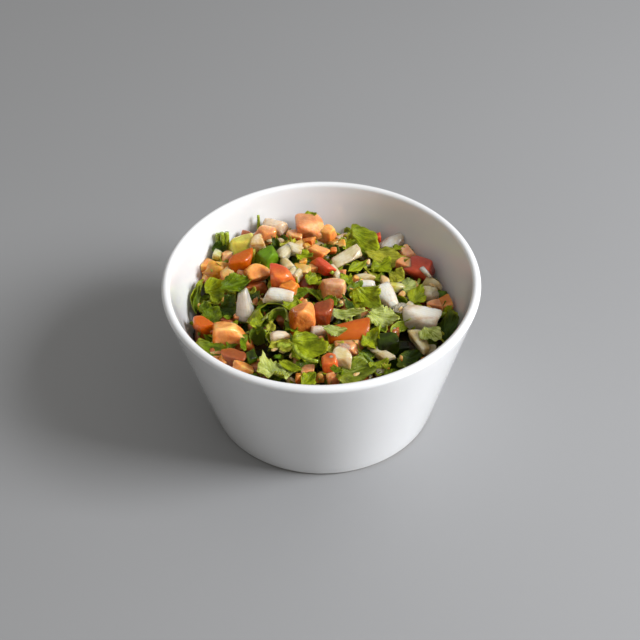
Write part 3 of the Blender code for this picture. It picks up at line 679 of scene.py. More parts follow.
def node(material, kind, inputs=None, out=0, **settings):
    """Adds a node with its settings, gives its inputs values or links, and returns one output."""
    made = material.node_tree.nodes.new(kind)
    for name, value in settings.items():
        setattr(made, name, value)
    for key, value in (inputs or {}).items():
        socket = made.inputs[key]
        if isinstance(value, bpy.types.NodeSocket):
            material.node_tree.links.new(value, socket)
        elif socket.type == "RGBA":
            socket.default_value = (*value[:3], 1)
        else:
            socket.default_value = value
    return made.outputs[out] if made.outputs else None


# A mix of two colours, which are its inputs 6 and 7, by the factor, its input 0
MIX = {"kind": "ShaderNodeMix", "out": 2, "data_type": "RGBA"}
MULTIPLY = {**MIX, "blend_type": "MULTIPLY"}
FACTOR, FIRST, SECOND = 0, 6, 7


def patches(material, place, scale, low, high, most=1.0, detail=2):
    """Soft irregular patches: the share of noise from low, where it is 0, to high, where it is the
    most. Low may be above high."""
    noise = node(material, "ShaderNodeTexNoise", {"Vector": place, "Scale": scale, "Detail": detail})
    return node(
        material, "ShaderNodeMapRange", {"Value": noise, "From Min": low, "From Max": high, "To Max": most}
    )


def porcelain_material(look):
    """Glazed porcelain, fired: a bright white body under a clear glossy glaze that pools very
    slightly, so its reflections waver. The foot ring is wiped bare of glaze and is rough."""
    material = new_material("glazed_porcelain")
    place = node(material, "ShaderNodeTexCoord", out="Object")
    height = node(material, "ShaderNodeSeparateXYZ", {"Vector": place}, out="Z")
    bare = node(material, "ShaderNodeMapRange", {"Value": height, "From Min": 0.0012, "From Max": 0.0004})
    # The glaze's slow waves are about 14 mm across
    waves = node(material, "ShaderNodeTexNoise", {"Vector": place, "Scale": 70, "Detail": 1.5})
    specks = node(material, "ShaderNodeTexNoise", {"Vector": place, "Scale": 900, "Detail": 2})
    tone = node(material, "ShaderNodeMapRange", {"Value": waves, "To Min": 0.985, "To Max": 1.0})
    white = node(material, **MULTIPLY, inputs={FACTOR: 1.0, FIRST: look.porcelain, SECOND: tone})
    colour = node(material, **MIX, inputs={FACTOR: bare, FIRST: white, SECOND: look.bare_foot})
    rough = node(material, "ShaderNodeMapRange", {"Value": bare, "To Min": 0.12, "To Max": 0.7})
    grain = node(material, "ShaderNodeMath", {0: specks, 1: bare}, operation="MULTIPLY")
    surface = node(material, "ShaderNodeMath", {0: waves, 1: grain}, operation="ADD")
    bump = node(material, "ShaderNodeBump", {"Strength": 0.06, "Distance": 0.0006, "Height": surface})
    shader = node(
        material, "ShaderNodeBsdfPrincipled",
        {
            "Base Color": colour, "Roughness": rough, "Normal": bump, "Subsurface Weight": 0.12,
            "Subsurface Radius": (1.0, 0.9, 0.8), "Subsurface Scale": 0.002,
            "Coat Weight": 0.5, "Coat Roughness": 0.06,
        },
    )
    node(material, "ShaderNodeOutputMaterial", {"Surface": shader})
    return material


def wet_material(name, build_colour, rough, cells, depth, glow, glow_radius, build_relief=None, **extra):
    """A cut, wet food surface. Its colour comes from build_colour. Cells of about one over that
    many millimetres, and that deep, give its bump, with what build_relief adds, and a film of juice
    lies on it as a clear coat."""
    material = new_material(name)
    place = node(material, "ShaderNodeAttribute", out="Vector", attribute_name="place")
    tone = node(material, "ShaderNodeAttribute", out="Vector", attribute_name="tone")
    grain = node(material, "ShaderNodeTexNoise", {"Vector": place, "Scale": cells, "Detail": 3})
    if build_relief:
        relief = build_relief(material, place)
        grain = node(material, "ShaderNodeMath", {0: grain, 1: relief}, operation="ADD")
    inputs = {
        "Base Color": build_colour(material, place, tone),
        "Normal": node(material, "ShaderNodeBump", {"Strength": 0.6, "Distance": depth, "Height": grain}),
        "Roughness": rough, "Specular IOR Level": 0.4, "Subsurface Weight": glow,
        "Subsurface Radius": glow_radius, "Subsurface Scale": 0.001, "Coat Weight": 0.4,
        "Coat Roughness": 0.1, "Coat IOR": 1.36,
    }
    for socket, value in extra.items():
        inputs[socket.replace("_", " ")] = value
    shader = node(material, "ShaderNodeBsdfPrincipled", inputs)
    node(material, "ShaderNodeOutputMaterial", {"Surface": shader})
    return material


def tomato_material(look):
    """Ripe tomato, diced: juicy flesh with paler threads about 2 mm apart and patches of painted shade that
    stand for wet hollows. The points' own tone pales towards the middle of the fruit and deepens to the
    smooth skin."""

    def colours(material, place, tone):
        skin = node(material, "ShaderNodeAttribute", out="Fac", attribute_name="skin")
        fibre = patches(material, place, scale=0.5, low=0.5, high=0.7, most=0.4, detail=3)
        # Painted shade: soft darker patches where wet hollows would lie in shade
        hollow = patches(material, place, scale=0.24, low=0.6, high=0.36, most=0.35)
        colour = node(material, **MULTIPLY, inputs={FACTOR: hollow, FIRST: tone, SECOND: look.tomato_hollow_shade})
        colour = node(
            material, **MIX, blend_type="DODGE",
            inputs={FACTOR: fibre, FIRST: colour, SECOND: look.tomato_thread},
        )
        return node(material, **MIX, inputs={FACTOR: skin, FIRST: colour, SECOND: tone})

    return wet_material(
        "diced_tomato", colours, rough=0.3, cells=0.9, depth=0.0006, glow=0.75,
        glow_radius=(2.8, 1.5, 0.5), Coat_Weight=0.5, Coat_Roughness=0.06, Specular_IOR_Level=0.3,
    )


def onion_material(look):
    """White onion, chopped: a pale, watery layer with fine veins about 1 mm apart along it, which
    lets light through, with a cloudier heart, and stained by juice in places."""

    def colours(material, place, tone):
        cloud = patches(material, place, scale=0.25, low=0.4, high=0.65, most=0.5)
        stain = patches(material, place, scale=0.18, low=0.5, high=0.7, most=0.45)
        veins = node(
            material, "ShaderNodeTexWave", {"Vector": place, "Scale": 0.32, "Distortion": 3.0, "Detail": 2},
            out="Fac", wave_type="BANDS", bands_direction="Y",
        )
        veins = node(material, "ShaderNodeMapRange", {"Value": veins, "From Min": 0.6, "To Max": 0.14})
        colour = node(material, **MIX, inputs={FACTOR: cloud, FIRST: tone, SECOND: look.onion_cloud})
        colour = node(material, **MULTIPLY, inputs={FACTOR: stain, FIRST: colour, SECOND: look.onion_stain})
        return node(material, **MULTIPLY, inputs={FACTOR: veins, FIRST: colour, SECOND: look.onion_vein})

    return wet_material(
        "chopped_onion", colours, rough=0.24, cells=0.9, depth=0.0005, glow=0.9,
        glow_radius=(4.2, 3.6, 2.6),
    )


def chilli_material(look):
    """Green chilli, diced: a waxy dark green skin, and a lighter, wet wall where it was cut."""

    def colours(material, place, tone):
        skin = node(material, "ShaderNodeAttribute", out="Fac", attribute_name="skin")
        fresh = patches(material, place, scale=0.22, low=0.35, high=0.7)
        skinned = {FACTOR: skin, FIRST: look.chilli_flesh, SECOND: look.chilli_dark}
        colour = node(material, **MIX, inputs=skinned)
        colour = node(material, **MIX, inputs={FACTOR: fresh, FIRST: colour, SECOND: look.chilli_skin})
        # The tone is the piece's lightness: painted shade on the named pieces, a random tone on fillers
        return node(material, **MULTIPLY, inputs={FACTOR: 1.0, FIRST: colour, SECOND: tone})

    return wet_material(
        "diced_green_chilli", colours, rough=0.38, cells=0.9, depth=0.0003, glow=0.2,
        glow_radius=(1.2, 1.4, 0.3), Coat_Weight=0.05, Specular_IOR_Level=0.2,
    )


def leaf_lines(material, place):
    """The lines of a leaf, all fanning out from its stalk: narrow veins, and irregular streaks
    between them, which differ from leaf to leaf with the leaf's own place."""
    blade = node(material, "ShaderNodeAttribute", out="Vector", attribute_name="blade")
    along = node(material, "ShaderNodeSeparateXYZ", {"Vector": blade}, out="X")
    across = node(material, "ShaderNodeSeparateXYZ", {"Vector": blade}, out="Y")
    own = node(material, "ShaderNodeSeparateXYZ", {"Vector": place}, out="X")
    own = node(material, "ShaderNodeMath", {0: own, 1: 0.02}, operation="MULTIPLY")
    from_stalk = node(material, "ShaderNodeMath", {0: along, 1: 0.95}, operation="ADD")
    angle = node(material, "ShaderNodeMath", {0: across, 1: from_stalk}, operation="ARCTAN2")
    fan = node(material, "ShaderNodeMath", {0: angle, 1: 13.6}, operation="MULTIPLY")
    fan = node(material, "ShaderNodeMath", {0: fan}, operation="COSINE")
    veins = node(material, "ShaderNodeMapRange", {"Value": fan, "From Min": 0.8, "From Max": 1.0})
    angle = node(material, "ShaderNodeMath", {0: angle, 1: 5.0}, operation="MULTIPLY")
    spread = node(material, "ShaderNodeCombineXYZ", {"X": angle, "Y": from_stalk, "Z": own})
    streaks = node(material, "ShaderNodeTexNoise", {"Vector": spread, "Scale": 2.2, "Detail": 3})
    return veins, streaks


def leaf_relief(material, place):
    """The height of a leaf's surface: its streaks, and its veins a quarter as high."""
    veins, streaks = leaf_lines(material, place)
    veins = node(material, "ShaderNodeMath", {0: veins, 1: 0.25}, operation="MULTIPLY")
    return node(material, "ShaderNodeMath", {0: streaks, 1: veins}, operation="ADD")


def leaf_material(look):
    """Coriander leaf, chopped: a thin blade with a satin top and a paler underside. Pale veins and
    light and dark streaks fan out from its stalk, and light that passes through turns yellow-green."""

    def colours(material, place, tone):
        blade = node(material, "ShaderNodeAttribute", out="Vector", attribute_name="blade")
        side = node(material, "ShaderNodeSeparateXYZ", {"Vector": blade}, out="Z")
        veins, streaks = leaf_lines(material, place)
        veins = node(material, "ShaderNodeMath", {0: veins, 1: 0.35}, operation="MULTIPLY")
        shade = node(material, "ShaderNodeTexNoise", {"Vector": place, "Scale": 0.3, "Detail": 3})
        shade = node(material, "ShaderNodeMath", {0: shade, 1: streaks}, operation="ADD")
        shade = node(material, "ShaderNodeMapRange", {"Value": shade, "From Min": 1.2, "From Max": 0.8})
        colour = node(material, **MULTIPLY, inputs={FACTOR: shade, FIRST: tone, SECOND: look.leaf_shade})
        vein = node(
            material, **MIX, blend_type="ADD", inputs={FACTOR: 0.55, FIRST: tone, SECOND: look.leaf_vein}
        )
        colour = node(material, **MIX, inputs={FACTOR: veins, FIRST: colour, SECOND: vein})
        below = {"Value": side, "From Min": 0.2, "From Max": -0.2, "To Max": 0.35}
        under = node(material, "ShaderNodeMapRange", below)
        return node(material, **MIX, inputs={FACTOR: under, FIRST: colour, SECOND: look.leaf_under})

    return wet_material(
        "chopped_coriander_leaf", colours, rough=0.36, cells=1.3, depth=0.0004, glow=0.4,
        glow_radius=(1.2, 1.0, 0.1), build_relief=leaf_relief, Coat_Weight=0.04, Specular_IOR_Level=0.15,
    )


def stem_material(look):
    """Coriander stem: juicy and pale green, with faint darker streaks."""

    def colours(material, place, tone):
        shade = patches(material, place, scale=0.9, low=0.7, high=0.35)
        return node(material, **MULTIPLY, inputs={FACTOR: shade, FIRST: tone, SECOND: look.leaf_shade})

    return wet_material(
        "coriander_stem", colours, rough=0.3, cells=1.5, depth=0.0002, glow=0.6,
        glow_radius=(1.2, 1.6, 0.3),
    )


def seed_material(look):
    """Tomato seed: a flat, downy, straw-coloured seed with browner patches, wet with gel."""

    def colours(material, place, tone):
        spots = patches(material, place, scale=1.1, low=0.4, high=0.65)
        return node(material, **MIX, inputs={FACTOR: spots, FIRST: tone, SECOND: look.seed_brown})

    return wet_material(
        "tomato_seed", colours, rough=0.35, cells=2.5, depth=0.0002, glow=0.5,
        glow_radius=(1.5, 1.1, 0.5),
    )


def gel_material(look):
    """The clear, faintly golden gel round tomato seeds: watery, with a wet surface."""

    def colours(material, place, tone):
        clouds = node(material, "ShaderNodeTexNoise", {"Vector": place, "Scale": 0.3})
        return node(material, **MIX, inputs={FACTOR: clouds, FIRST: tone, SECOND: look.gel_light})

    return wet_material(
        "tomato_gel", colours, rough=0.04, cells=0.5, depth=0.0002, glow=0.0,
        glow_radius=(1, 1, 1), Coat_Weight=0.0, Transmission_Weight=0.75, IOR=1.34,
    )


def mash_material(look):
    """What lies deep between the pieces: a wet mash of leaf, tomato and juice, coloured nearly black as
    painted shade of the deep gaps between the pieces.
    """

    def colours(material, place, tone):
        place = node(material, "ShaderNodeTexCoord", out="Object")
        # Spots about 4 mm across, and flecks of 2 mm
        spots = patches(material, place, scale=260, low=0.4, high=0.62, detail=3)
        flecks = patches(material, place, scale=420, low=0.6, high=0.72)
        colour = node(material, **MIX, inputs={FACTOR: spots, FIRST: tone, SECOND: look.mash_shade_red})
        return node(material, **MIX, inputs={FACTOR: flecks, FIRST: colour, SECOND: look.mash_light})

    return wet_material(
        "salsa_mash", colours, rough=0.4, cells=1.0, depth=0.0004, glow=0.2,
        glow_radius=(2, 1, 0.3), Coat_Weight=0.15,
    )


def colour_setting(name, description, hex_colour):
    """A colour that a user may change."""
    return bpy.props.FloatVectorProperty(
        name=name, description=description, subtype="COLOR", size=3, min=0, max=1, default=linear(hex_colour)
    )


class PicoColours(bpy.types.PropertyGroup):
    """The colours of the porcelain and of every cut piece."""

    porcelain: colour_setting("Porcelain", "The glazed body's white", "#E9E9E8")
    bare_foot: colour_setting("Bare foot", "The unglazed foot ring", "#D9D2C4")
    peach: colour_setting("Peach flesh", "Light orange tomato flesh", "#F4A85A")
    # Blush is also the painted highlight along the tomato's cut edges
    blush: colour_setting("Blush flesh", "Pale pink flesh, and the edges of cut faces", "#EAB48C")
    apricot: colour_setting("Apricot flesh", "Orange flesh towards the middle", "#EEA060")
    orange: colour_setting("Orange flesh", "Deep orange tomato flesh", "#D8842A")
    salmon: colour_setting("Salmon flesh", "Pink-orange tomato flesh", "#E6A266")
    rose: colour_setting("Rose flesh", "Pink, wet tomato flesh", "#D49262")
    red: colour_setting("Red flesh", "Bright red tomato flesh", "#D2522E")
    brick: colour_setting("Brick flesh", "Dark red tomato flesh", "#9A5626")
    claret: colour_setting("Claret flesh", "Red-brown tomato with its skin", "#A8463A")
    rust: colour_setting("Rust flesh", "Brown-red tomato flesh", "#8E3A08")
    gold: colour_setting("Gold flesh", "Yellow-orange tomato flesh", "#D49E3A")
    lime: colour_setting("Green flesh", "Yellow-green tomato flesh", "#C2B440")
    tomato_thread: colour_setting("Tomato thread", "How much the threads lighten the flesh", "#5A9AB8")
    # Painted shade of the flesh's hollows
    tomato_hollow_shade: colour_setting("Tomato hollow", "Darkens the flesh's hollows", "#D6A070")
    skin_plate: colour_setting("Skin piece", "Thin pieces of orange skin", "#BE5C00")
    white: colour_setting("White onion", "Firm white onion", "#E2DED2")
    clear: colour_setting("Clear onion", "Watery onion", "#C2B68C")
    rosy: colour_setting("Rosy onion", "Onion stained by juice", "#DCC4A6")
    cream: colour_setting("Cream onion", "Yellowish onion", "#D2BE86")
    lilac: colour_setting("Lilac onion", "Cool white onion", "#CEC9C0")
    yellow: colour_setting("Yellow onion", "Green-yellow onion", "#C8C45A")
    tan: colour_setting("Tan onion", "Onion browned by juice", "#CFAA64")
    onion_stain: colour_setting("Onion stain", "Onion stained by tomato juice", "#E0C08C")
    onion_edge: colour_setting("Onion edge", "Darkens an onion piece's stained edges", "#D09A6C")
    onion_vein: colour_setting("Onion vein", "Darkens the onion's veins", "#D6C8A0")
    onion_cloud: colour_setting("Onion cloud", "The cloudy heart of an onion piece", "#E2DED0")
    chilli_skin: colour_setting("Chilli skin", "Waxy green skin", "#50680A")
    chilli_dark: colour_setting("Chilli shade", "Darker patches of the skin", "#262C04")
    chilli_flesh: colour_setting("Chilli flesh", "The cut wall", "#6E9418")
    bright: colour_setting("Bright leaf", "Fresh yellow-green leaf", "#9EAA18")
    mid: colour_setting("Green leaf", "Middle green leaf", "#6C820C")
    # Dark leaf is also the painted shade in the leaves' broad patches
    dark: colour_setting("Dark leaf", "Dark, wet leaf", "#3A5208")
    # Yellow leaf is also the painted light along the leaves' edges and one end
    yellowish: colour_setting("Yellow leaf", "Yellow-green leaf base", "#BAB63E")
    olive: colour_setting("Olive leaf", "Dull green leaf", "#7C8828")
    pale: colour_setting("Pale leaf", "Leaf base and underside", "#C0C87A")
    light: colour_setting("Stem", "Pale green stem", "#B0BE3C")
    leaf_shade: colour_setting("Leaf shade", "Darkens a leaf's patches", "#A6AC58")
    leaf_vein: colour_setting("Leaf vein", "The veins of a leaf", "#3A4420")
    leaf_under: colour_setting("Leaf underside", "The dull back of a leaf", "#8A9A30")
    seed: colour_setting("Seed", "Straw-coloured tomato seed", "#E2C48C")
    seed_brown: colour_setting("Seed rim", "The browner parts of a seed", "#CC9A54")
    gel: colour_setting("Gel", "The gel round the seeds", "#E9DDBE")
    gel_light: colour_setting("Light gel", "Clearer gel", "#F5F0E2")
    # Painted shade: the mash's green, red and flecks are darkened to stand for the shade deep in the heap
    mash_shade_green: colour_setting("Mash green", "Dark leaf deep in the heap", "#141E04")
    mash_shade_red: colour_setting("Mash red", "Dark tomato deep in the heap", "#3E1A08")
    mash_light: colour_setting("Mash light", "Bits of onion deep in the heap", "#75602C")


class PicoSizes(bpy.types.PropertyGroup):
    """How fine the pieces are, and how many fill the gaps."""

    seed: bpy.props.IntProperty(name="Seed", description="Seed of every random draw", default=11, min=0)
    bowl_sides: bpy.props.IntProperty(
        name="Bowl sides", description="Sides of the turned bowl", default=192, min=24, max=512
    )
    named_squares: bpy.props.IntProperty(
        name="Piece grid", description="Squares along each edge of a large piece", default=14, min=3, max=20
    )
    filler_squares: bpy.props.IntProperty(
        name="Filler grid", description="Squares along each edge of a filler", default=6, min=3, max=20
    )
    leaf_spokes: bpy.props.IntProperty(
        name="Leaf spokes", description="Points round a leaf's edge", default=52, min=12, max=120
    )
    leaf_thickness: bpy.props.FloatProperty(
        name="Leaf thickness", description="Thickness of a leaf", default=0.32 * MM, min=0.1 * MM,
        unit="LENGTH",
    )


class PicoLight(bpy.types.PropertyGroup):
    """The studio: floor, window light and room light."""

    floor: colour_setting("Floor", "The plain pale floor", "#949494")
    window: colour_setting("Window light", "The large soft light on the right", "#F8FAFF")
    room: colour_setting("Room light", "The light from all round", "#F2F1EF")
    window_power: bpy.props.FloatProperty(
        name="Window power", description="Power of the soft light, in watts", default=15.6, min=0
    )
    fill_power: bpy.props.FloatProperty(
        name="Fill power", description="Power of the low fill on the right, in watts", default=5.0, min=0
    )
    room_above: bpy.props.FloatProperty(
        name="Light from above", description="Strength of the room light overhead", default=0.66, min=0
    )
    room_beside: bpy.props.FloatProperty(
        name="Light from beside", description="Strength of the low room light", default=0.03, min=0
    )


def colours():
    """The settings of the pieces' colours."""
    return bpy.context.scene.pico_colours


def sizes():
    """The settings of the pieces' grids."""
    return bpy.context.scene.pico_sizes


def draws(offset):
    """A random generator of its own for each kind, so that one kind's draws don't move another's."""
    return np.random.default_rng(sizes().seed * 100 + offset)


def named_places():
    """Where each named piece's middle truly lies, and half its larger side."""
    rows = [row[:5] for row in TOMATO_PIECES + ONION_PIECES + CHILLI_PIECES + LEAVES]
    rows = np.array(rows, float)
    return rows[:, 0], rows[:, 1] - rows[:, 2] * BACK_SHIFT, rows[:, 3:5].max(1) / 2


def scattered(offset, step, jitter=0.32):
    """Seeded places one step apart on staggered rows all over the heap, each moved a little, but
    none over a hollow."""
    draw = draws(offset)
    reach = inner_radius(WALL_LEVEL)
    rows = int(reach / step) + 1
    column, row = np.meshgrid(np.arange(-rows, rows + 1), np.arange(-rows, rows + 1), indexing="ij")
    x = (column + 0.5 * (row % 2)).ravel() * step + draw.normal(0, jitter * step * 0.6, column.size)
    y = row.ravel() * step * 0.9 + draw.normal(0, jitter * step * 0.6, column.size)
    free = np.hypot(x, y) < reach - step * 0.4
    for hollow_x, hollow_y, radius in HOLLOWS:
        free &= np.hypot(x - hollow_x, y - hollow_y) > radius
    return x[free], y[free], draw


def filler_rows():
    """Places, sizes and layers of the pieces that fill the gaps: those between the named pieces, at
    the surface, a full layer below them all, and small bits."""
    rows = []
    taken_x, taken_y, taken_reach = named_places()
    x, y, draw = scattered(1, FILLER_STEP)
    gap = (np.hypot(x[:, None] - taken_x, y[:, None] - taken_y) - taken_reach * 0.7).min(1)
    for k in np.flatnonzero(gap > 0.4):
        layer = "open" if gap[k] > 3 else "top"
        rows.append(((x[k], y[k], draw.uniform(-0.4, 1.6)), draw.uniform(5, 8.5), layer))
    x, y, draw = scattered(2, UNDER_STEP)
    for k in range(len(x)):
        rows.append(((x[k], y[k], draw.uniform(-3.6, -1.8)), draw.uniform(6, 9), "under"))
    x, y, draw = scattered(3, BIT_STEP)
    for k in draw.permutation(len(x))[:SMALL_BITS]:
        rows.append(((x[k], y[k], draw.uniform(-1.0, 2.4)), draw.uniform(1.6, 4.2), "bit"))
    return rows


# The share of tomato, onion, chilli and leaf in each layer of fillers
FILLER_SHARES = {
    "top": (0.16, 0.08, 0.03, 0.73),
    "open": (0.34, 0.13, 0.04, 0.49),
    "under": (0.20, 0.08, 0.10, 0.62),
    "bit": (0.13, 0.09, 0.03, 0.75),
}


def fillers(kind):
    """The fillers of one kind: their places, sizes, layers and random angles."""
    draw, kinds, rows = draws(4), ("tomato", "onion", "chilli", "leaf"), []
    for at, size, layer in filler_rows():
        drawn = draw.choice(kinds, p=FILLER_SHARES[layer])
        angles = (draw.uniform(0, 360), draw.normal(0, 16), draw.normal(0, 16))
        if drawn == kind:
            rows.append((at, size, layer, angles))
    return rows


# The tones of fillers in each layer
TOMATO_CHOICES = {
    "top": ("peach", "gold", "rose", "orange", "brick", "gold"),
    "open": ("peach", "gold", "gold", "red", "orange", "rose"),
    "under": ("brick", "rose", "rust"),
    "bit": ("gold", "peach", "rose", "orange", "gold"),
}
ONION_CHOICES = {
    "top": ("tan", "clear", "tan", "cream"),
    "open": ("cream", "tan", "lilac", "rosy", "clear"),
    "under": ("clear", "tan"),
    "bit": ("tan", "clear", "cream", "rosy"),
}
LEAF_CHOICES = {
    "top": ("bright", "mid", "bright", "yellowish", "dark"),
    "open": ("bright", "mid", "bright", "pale", "mid"),
    "under": ("dark", "mid", "dark"),
    "bit": ("bright", "mid", "pale", "yellowish"),
}
LEAF_OUTLINES = ("jagged", "pointed", "broad", "saw", "frilly", "pointed")
# Points round a leaf filler, and rings from its middle to its edge
LEAF_GRIDS = {"top": (30, 3), "open": (30, 3), "under": (22, 2), "bit": (18, 2)}

# The tones that a tomato's flesh takes towards the middle of the fruit and at its skin
TOMATO_TONES = {
    "peach": ("salmon", "orange"), "orange": ("apricot", "skin_plate"), "salmon": ("blush", "orange"),
    "rose": ("salmon", "brick"), "red": ("orange", "red"), "brick": ("rust", "brick"),
    "claret": ("red", "claret"), "rust": ("brick", "rust"), "gold": ("cream", "orange"),
    "lime": ("yellow", "pale"), "blush": ("salmon", "peach"),
}
# Painted shade at each piece's foot: the power that tones pass into towards a piece's foot, which darkens
# them, and how far they do in tomato and onion
FOOT_SHADE_POWER = 1.9
TOMATO_FOOT_SHADE = 0.75
ONION_FOOT_SHADE = 0.7


def blended(first, second, share):
    """One set of colours passing into another by the second one's share."""
    return first * (1 - share) + second * share


def tint(name):
    """A named colour of the pieces."""
    return np.array(getattr(colours(), name))


def shaded_to_foot(tones, points, share):
    """The tones with painted shade: darker and richer towards the piece's foot, where they pass into a power
    of themselves by the share."""
    low = 1 - (points[:, 2] - points[:, 2].min()) / np.ptp(points[:, 2])
    return blended(tones, tones**FOOT_SHADE_POWER, share * low[:, None])


def tomato_tones(draw, points, tone, skin, edge):
    """Each point's colour: the tone, passing into its inner one along a random direction, with blotches 4 mm
    wide of its skin tone and faint pale walls between them, a painted highlight that pales it along the cut
    edges, and into its skin tone by the share of skin, with painted shade towards its foot."""
    heading = draw.normal(0, 1, 3)
    way = points @ heading
    way = np.clip(1.9 * (way - way.min()) / np.ptp(way) - 0.6, 0, 1) * draw.uniform(0.4, 0.9)
    waves = [np.sin(points @ draw.normal(0, 0.6, 3) + draw.uniform(0, WHOLE_WAVE)) for _ in range(4)]
    blotch = sum(waves)[:, None] / 2
    wall = np.exp(-((blotch / 0.3) ** 2)) * 0.25
    flesh = tint(tone)
    inner, outer = (tint(name) for name in TOMATO_TONES[tone])
    edge = edge[:, None]
    tones = blended(flesh, inner, way[:, None])
    tones = blended(tones, outer, np.clip(blotch, 0, 1) * 0.4)
    tones = np.minimum(tones / (1 - wall * tint("tomato_thread")), 1)
    # Painted highlight: the wet film's shine along the cut edges, lightened and tinted with blush
    tones = np.minimum(tones * (1 + 0.3 * edge) + 0.06 * tint("blush") * edge, 1)
    return shaded_to_foot(blended(tones, outer, skin[:, None]), points, TOMATO_FOOT_SHADE)


def onion_tones(place, tone, edge):
    """Each point's colour: the tone, darker and browner along the edges, more on one piece than on the next,
    with painted shade towards its foot."""
    share = (0.25 + 0.6 * (place[0, 0] % 1)) * edge[:, None]
    return shaded_to_foot(blended(tint(tone), tint(tone) * tint("onion_edge"), share), place, ONION_FOOT_SHADE)


def leaf_tones_with_painted_light(draw, blade, tone):
    """Each point's colour: yellower towards one end of the blade and along its edge, a painted light that
    stands for light through the thin blade, and darker in broad patches of painted shade, which follow a
    product of two waves over the blade."""
    u, v = blade[:, 0], blade[:, 1]
    heading = draw.normal(0, 1, 2)
    way = blade[:, :2] @ heading / np.linalg.norm(heading)
    edge = np.clip(np.hypot(u, v) - 0.55, 0, 1)
    # Painted light: the yellow share along the edge and towards one end
    share = np.clip(0.3 * way + 0.5 * edge, 0, 0.6) * draw.uniform(0.0, 1.0)
    phases = draw.uniform(0, WHOLE_WAVE, 2)
    # Painted shade: broad darker patches
    deep = np.clip(np.sin(2.6 * u + phases[0]) * np.cos(2.4 * v + phases[1]), 0, 1)
    deep = deep * draw.uniform(0.1, 0.6)
    tones = blended(tint(tone), tint("yellowish"), share[:, None])
    return blended(tones, tint("dark"), deep[:, None])


def own_place(draw, points):
    """A piece's own coordinates, in millimetres, moved so that no two pieces share a pattern."""
    return points + draw.uniform(-500, 500, 3)


class PICO_OT_bowl(bpy.types.Operator):
    """Adds the porcelain bowl: its section turned about the axis"""

    bl_idname = "pico.add_bowl"
    bl_label = "Porcelain Bowl"

    def execute(self, context):
        profile = bowl_profile() * (BOWL_FIT, 1)
        sides = sizes().bowl_sides
        batch = Batch()
        points = closed(turned_rings(profile, sides), [[0, 0, FLOOR_TOP], [0, 0, FOOT_RECESS]])
        batch.add(points, ring_body(len(profile), sides))
        batch.build("porcelain_bowl", porcelain_material(colours()), PORCELAIN_SLOT, BOWL_NODE)
        return {"FINISHED"}


class PICO_OT_mash(bpy.types.Operator):
    """Adds the core of the heap: it fills the bowl below the pieces and ends in a lumpy top"""

    bl_idname = "pico.add_mash"
    bl_label = "Heap Core"

    def execute(self, context):
        sides, rings = CORE_GRID
        around = np.linspace(0, 2 * math.pi, sides, endpoint=False)
        out = np.linspace(1, 0, rings + 1)[:-1, None] * (inner_radius(CORE_EDGE) - WALL_GAP)
        x, y = out * np.cos(around), out * np.sin(around)
        lumps = np.sin(0.9 * x + 1.1 * np.sin(0.7 * y)) * np.cos(0.8 * y + 0.9 * np.sin(0.6 * x))
        top = keep_in_bowl(np.stack([x, y, heap_level(x, y) - CORE_DEPTH + 0.9 * lumps], -1))
        # The core's foot follows the bowl's inner corner
        floor = FLOOR_TOP + WALL_GAP
        low = np.array([
            (inner_radius(floor) - INNER_CORNER, floor),
            (inner_radius(floor) - 3.0, floor + 2.7),
            (inner_radius(floor + INNER_CORNER) - WALL_GAP, floor + INNER_CORNER),
        ])
        ends = [[0, 0, floor], [0, 0, heap_level(0.0, 0.0) - CORE_DEPTH]]
        points = closed(np.concatenate([turned_rings(low, sides), top]), ends)
        batch = Batch()
        # The core's near-black tone is painted shade
        batch.add(points, ring_body(len(low) + rings, sides), place=points, tone=tint("mash_shade_green"))
        batch.build("salsa_mash", mash_material(colours()))
        return {"FINISHED"}


class PICO_OT_tomato(bpy.types.Operator):
    """Adds the diced tomato: the named pieces, the thin pieces of skin and the fillers"""

    bl_idname = "pico.add_tomato"
    bl_label = "Diced Tomato"

    def execute(self, context):
        draw, batch = draws(10), Batch()
        (fine, fine_faces), (coarse, coarse_faces) = grids()
        for at, size, angles, (flesh, side, crispness) in map(split, TOMATO_PIECES):
            points, skin, edge = cut_cube(draw, fine, size, side, crispness)
            place = own_place(draw, points)
            tones = tomato_tones(draw, place, flesh, skin, edge)
            batch.add(points, fine_faces, at, angles, place=place, skin=skin, tone=tones)
        for at, size, angles, (bend, taper) in map(split, TOMATO_SKINS):
            points, edge = bent_slab(draw, fine, size, bend, taper)
            place = own_place(draw, points * SKIN_GRAIN)
            skin = np.clip(fine[:, 2] * 3 + 0.5, 0, 1)
            tones = tomato_tones(draw, place, "orange", skin, edge)
            batch.add(points, fine_faces, at, angles, place=place, skin=skin, tone=tones)
        for at, size, layer, angles in fillers("tomato"):
            shape = size * draw.uniform(0.65, 1.0, 3) * (0.7 if layer == "top" else 1)
            side = draw.choice(("none", "none", "top", "left", "front"))
            points, skin, edge = cut_cube(draw, coarse, shape, side)
            place = own_place(draw, points)
            tones = tomato_tones(draw, place, draw.choice(TOMATO_CHOICES[layer]), skin, edge)
            batch.add(points, coarse_faces, at, angles, place=place, skin=skin, tone=tones)
        batch.build("diced_tomato", tomato_material(colours()))
        return {"FINISHED"}


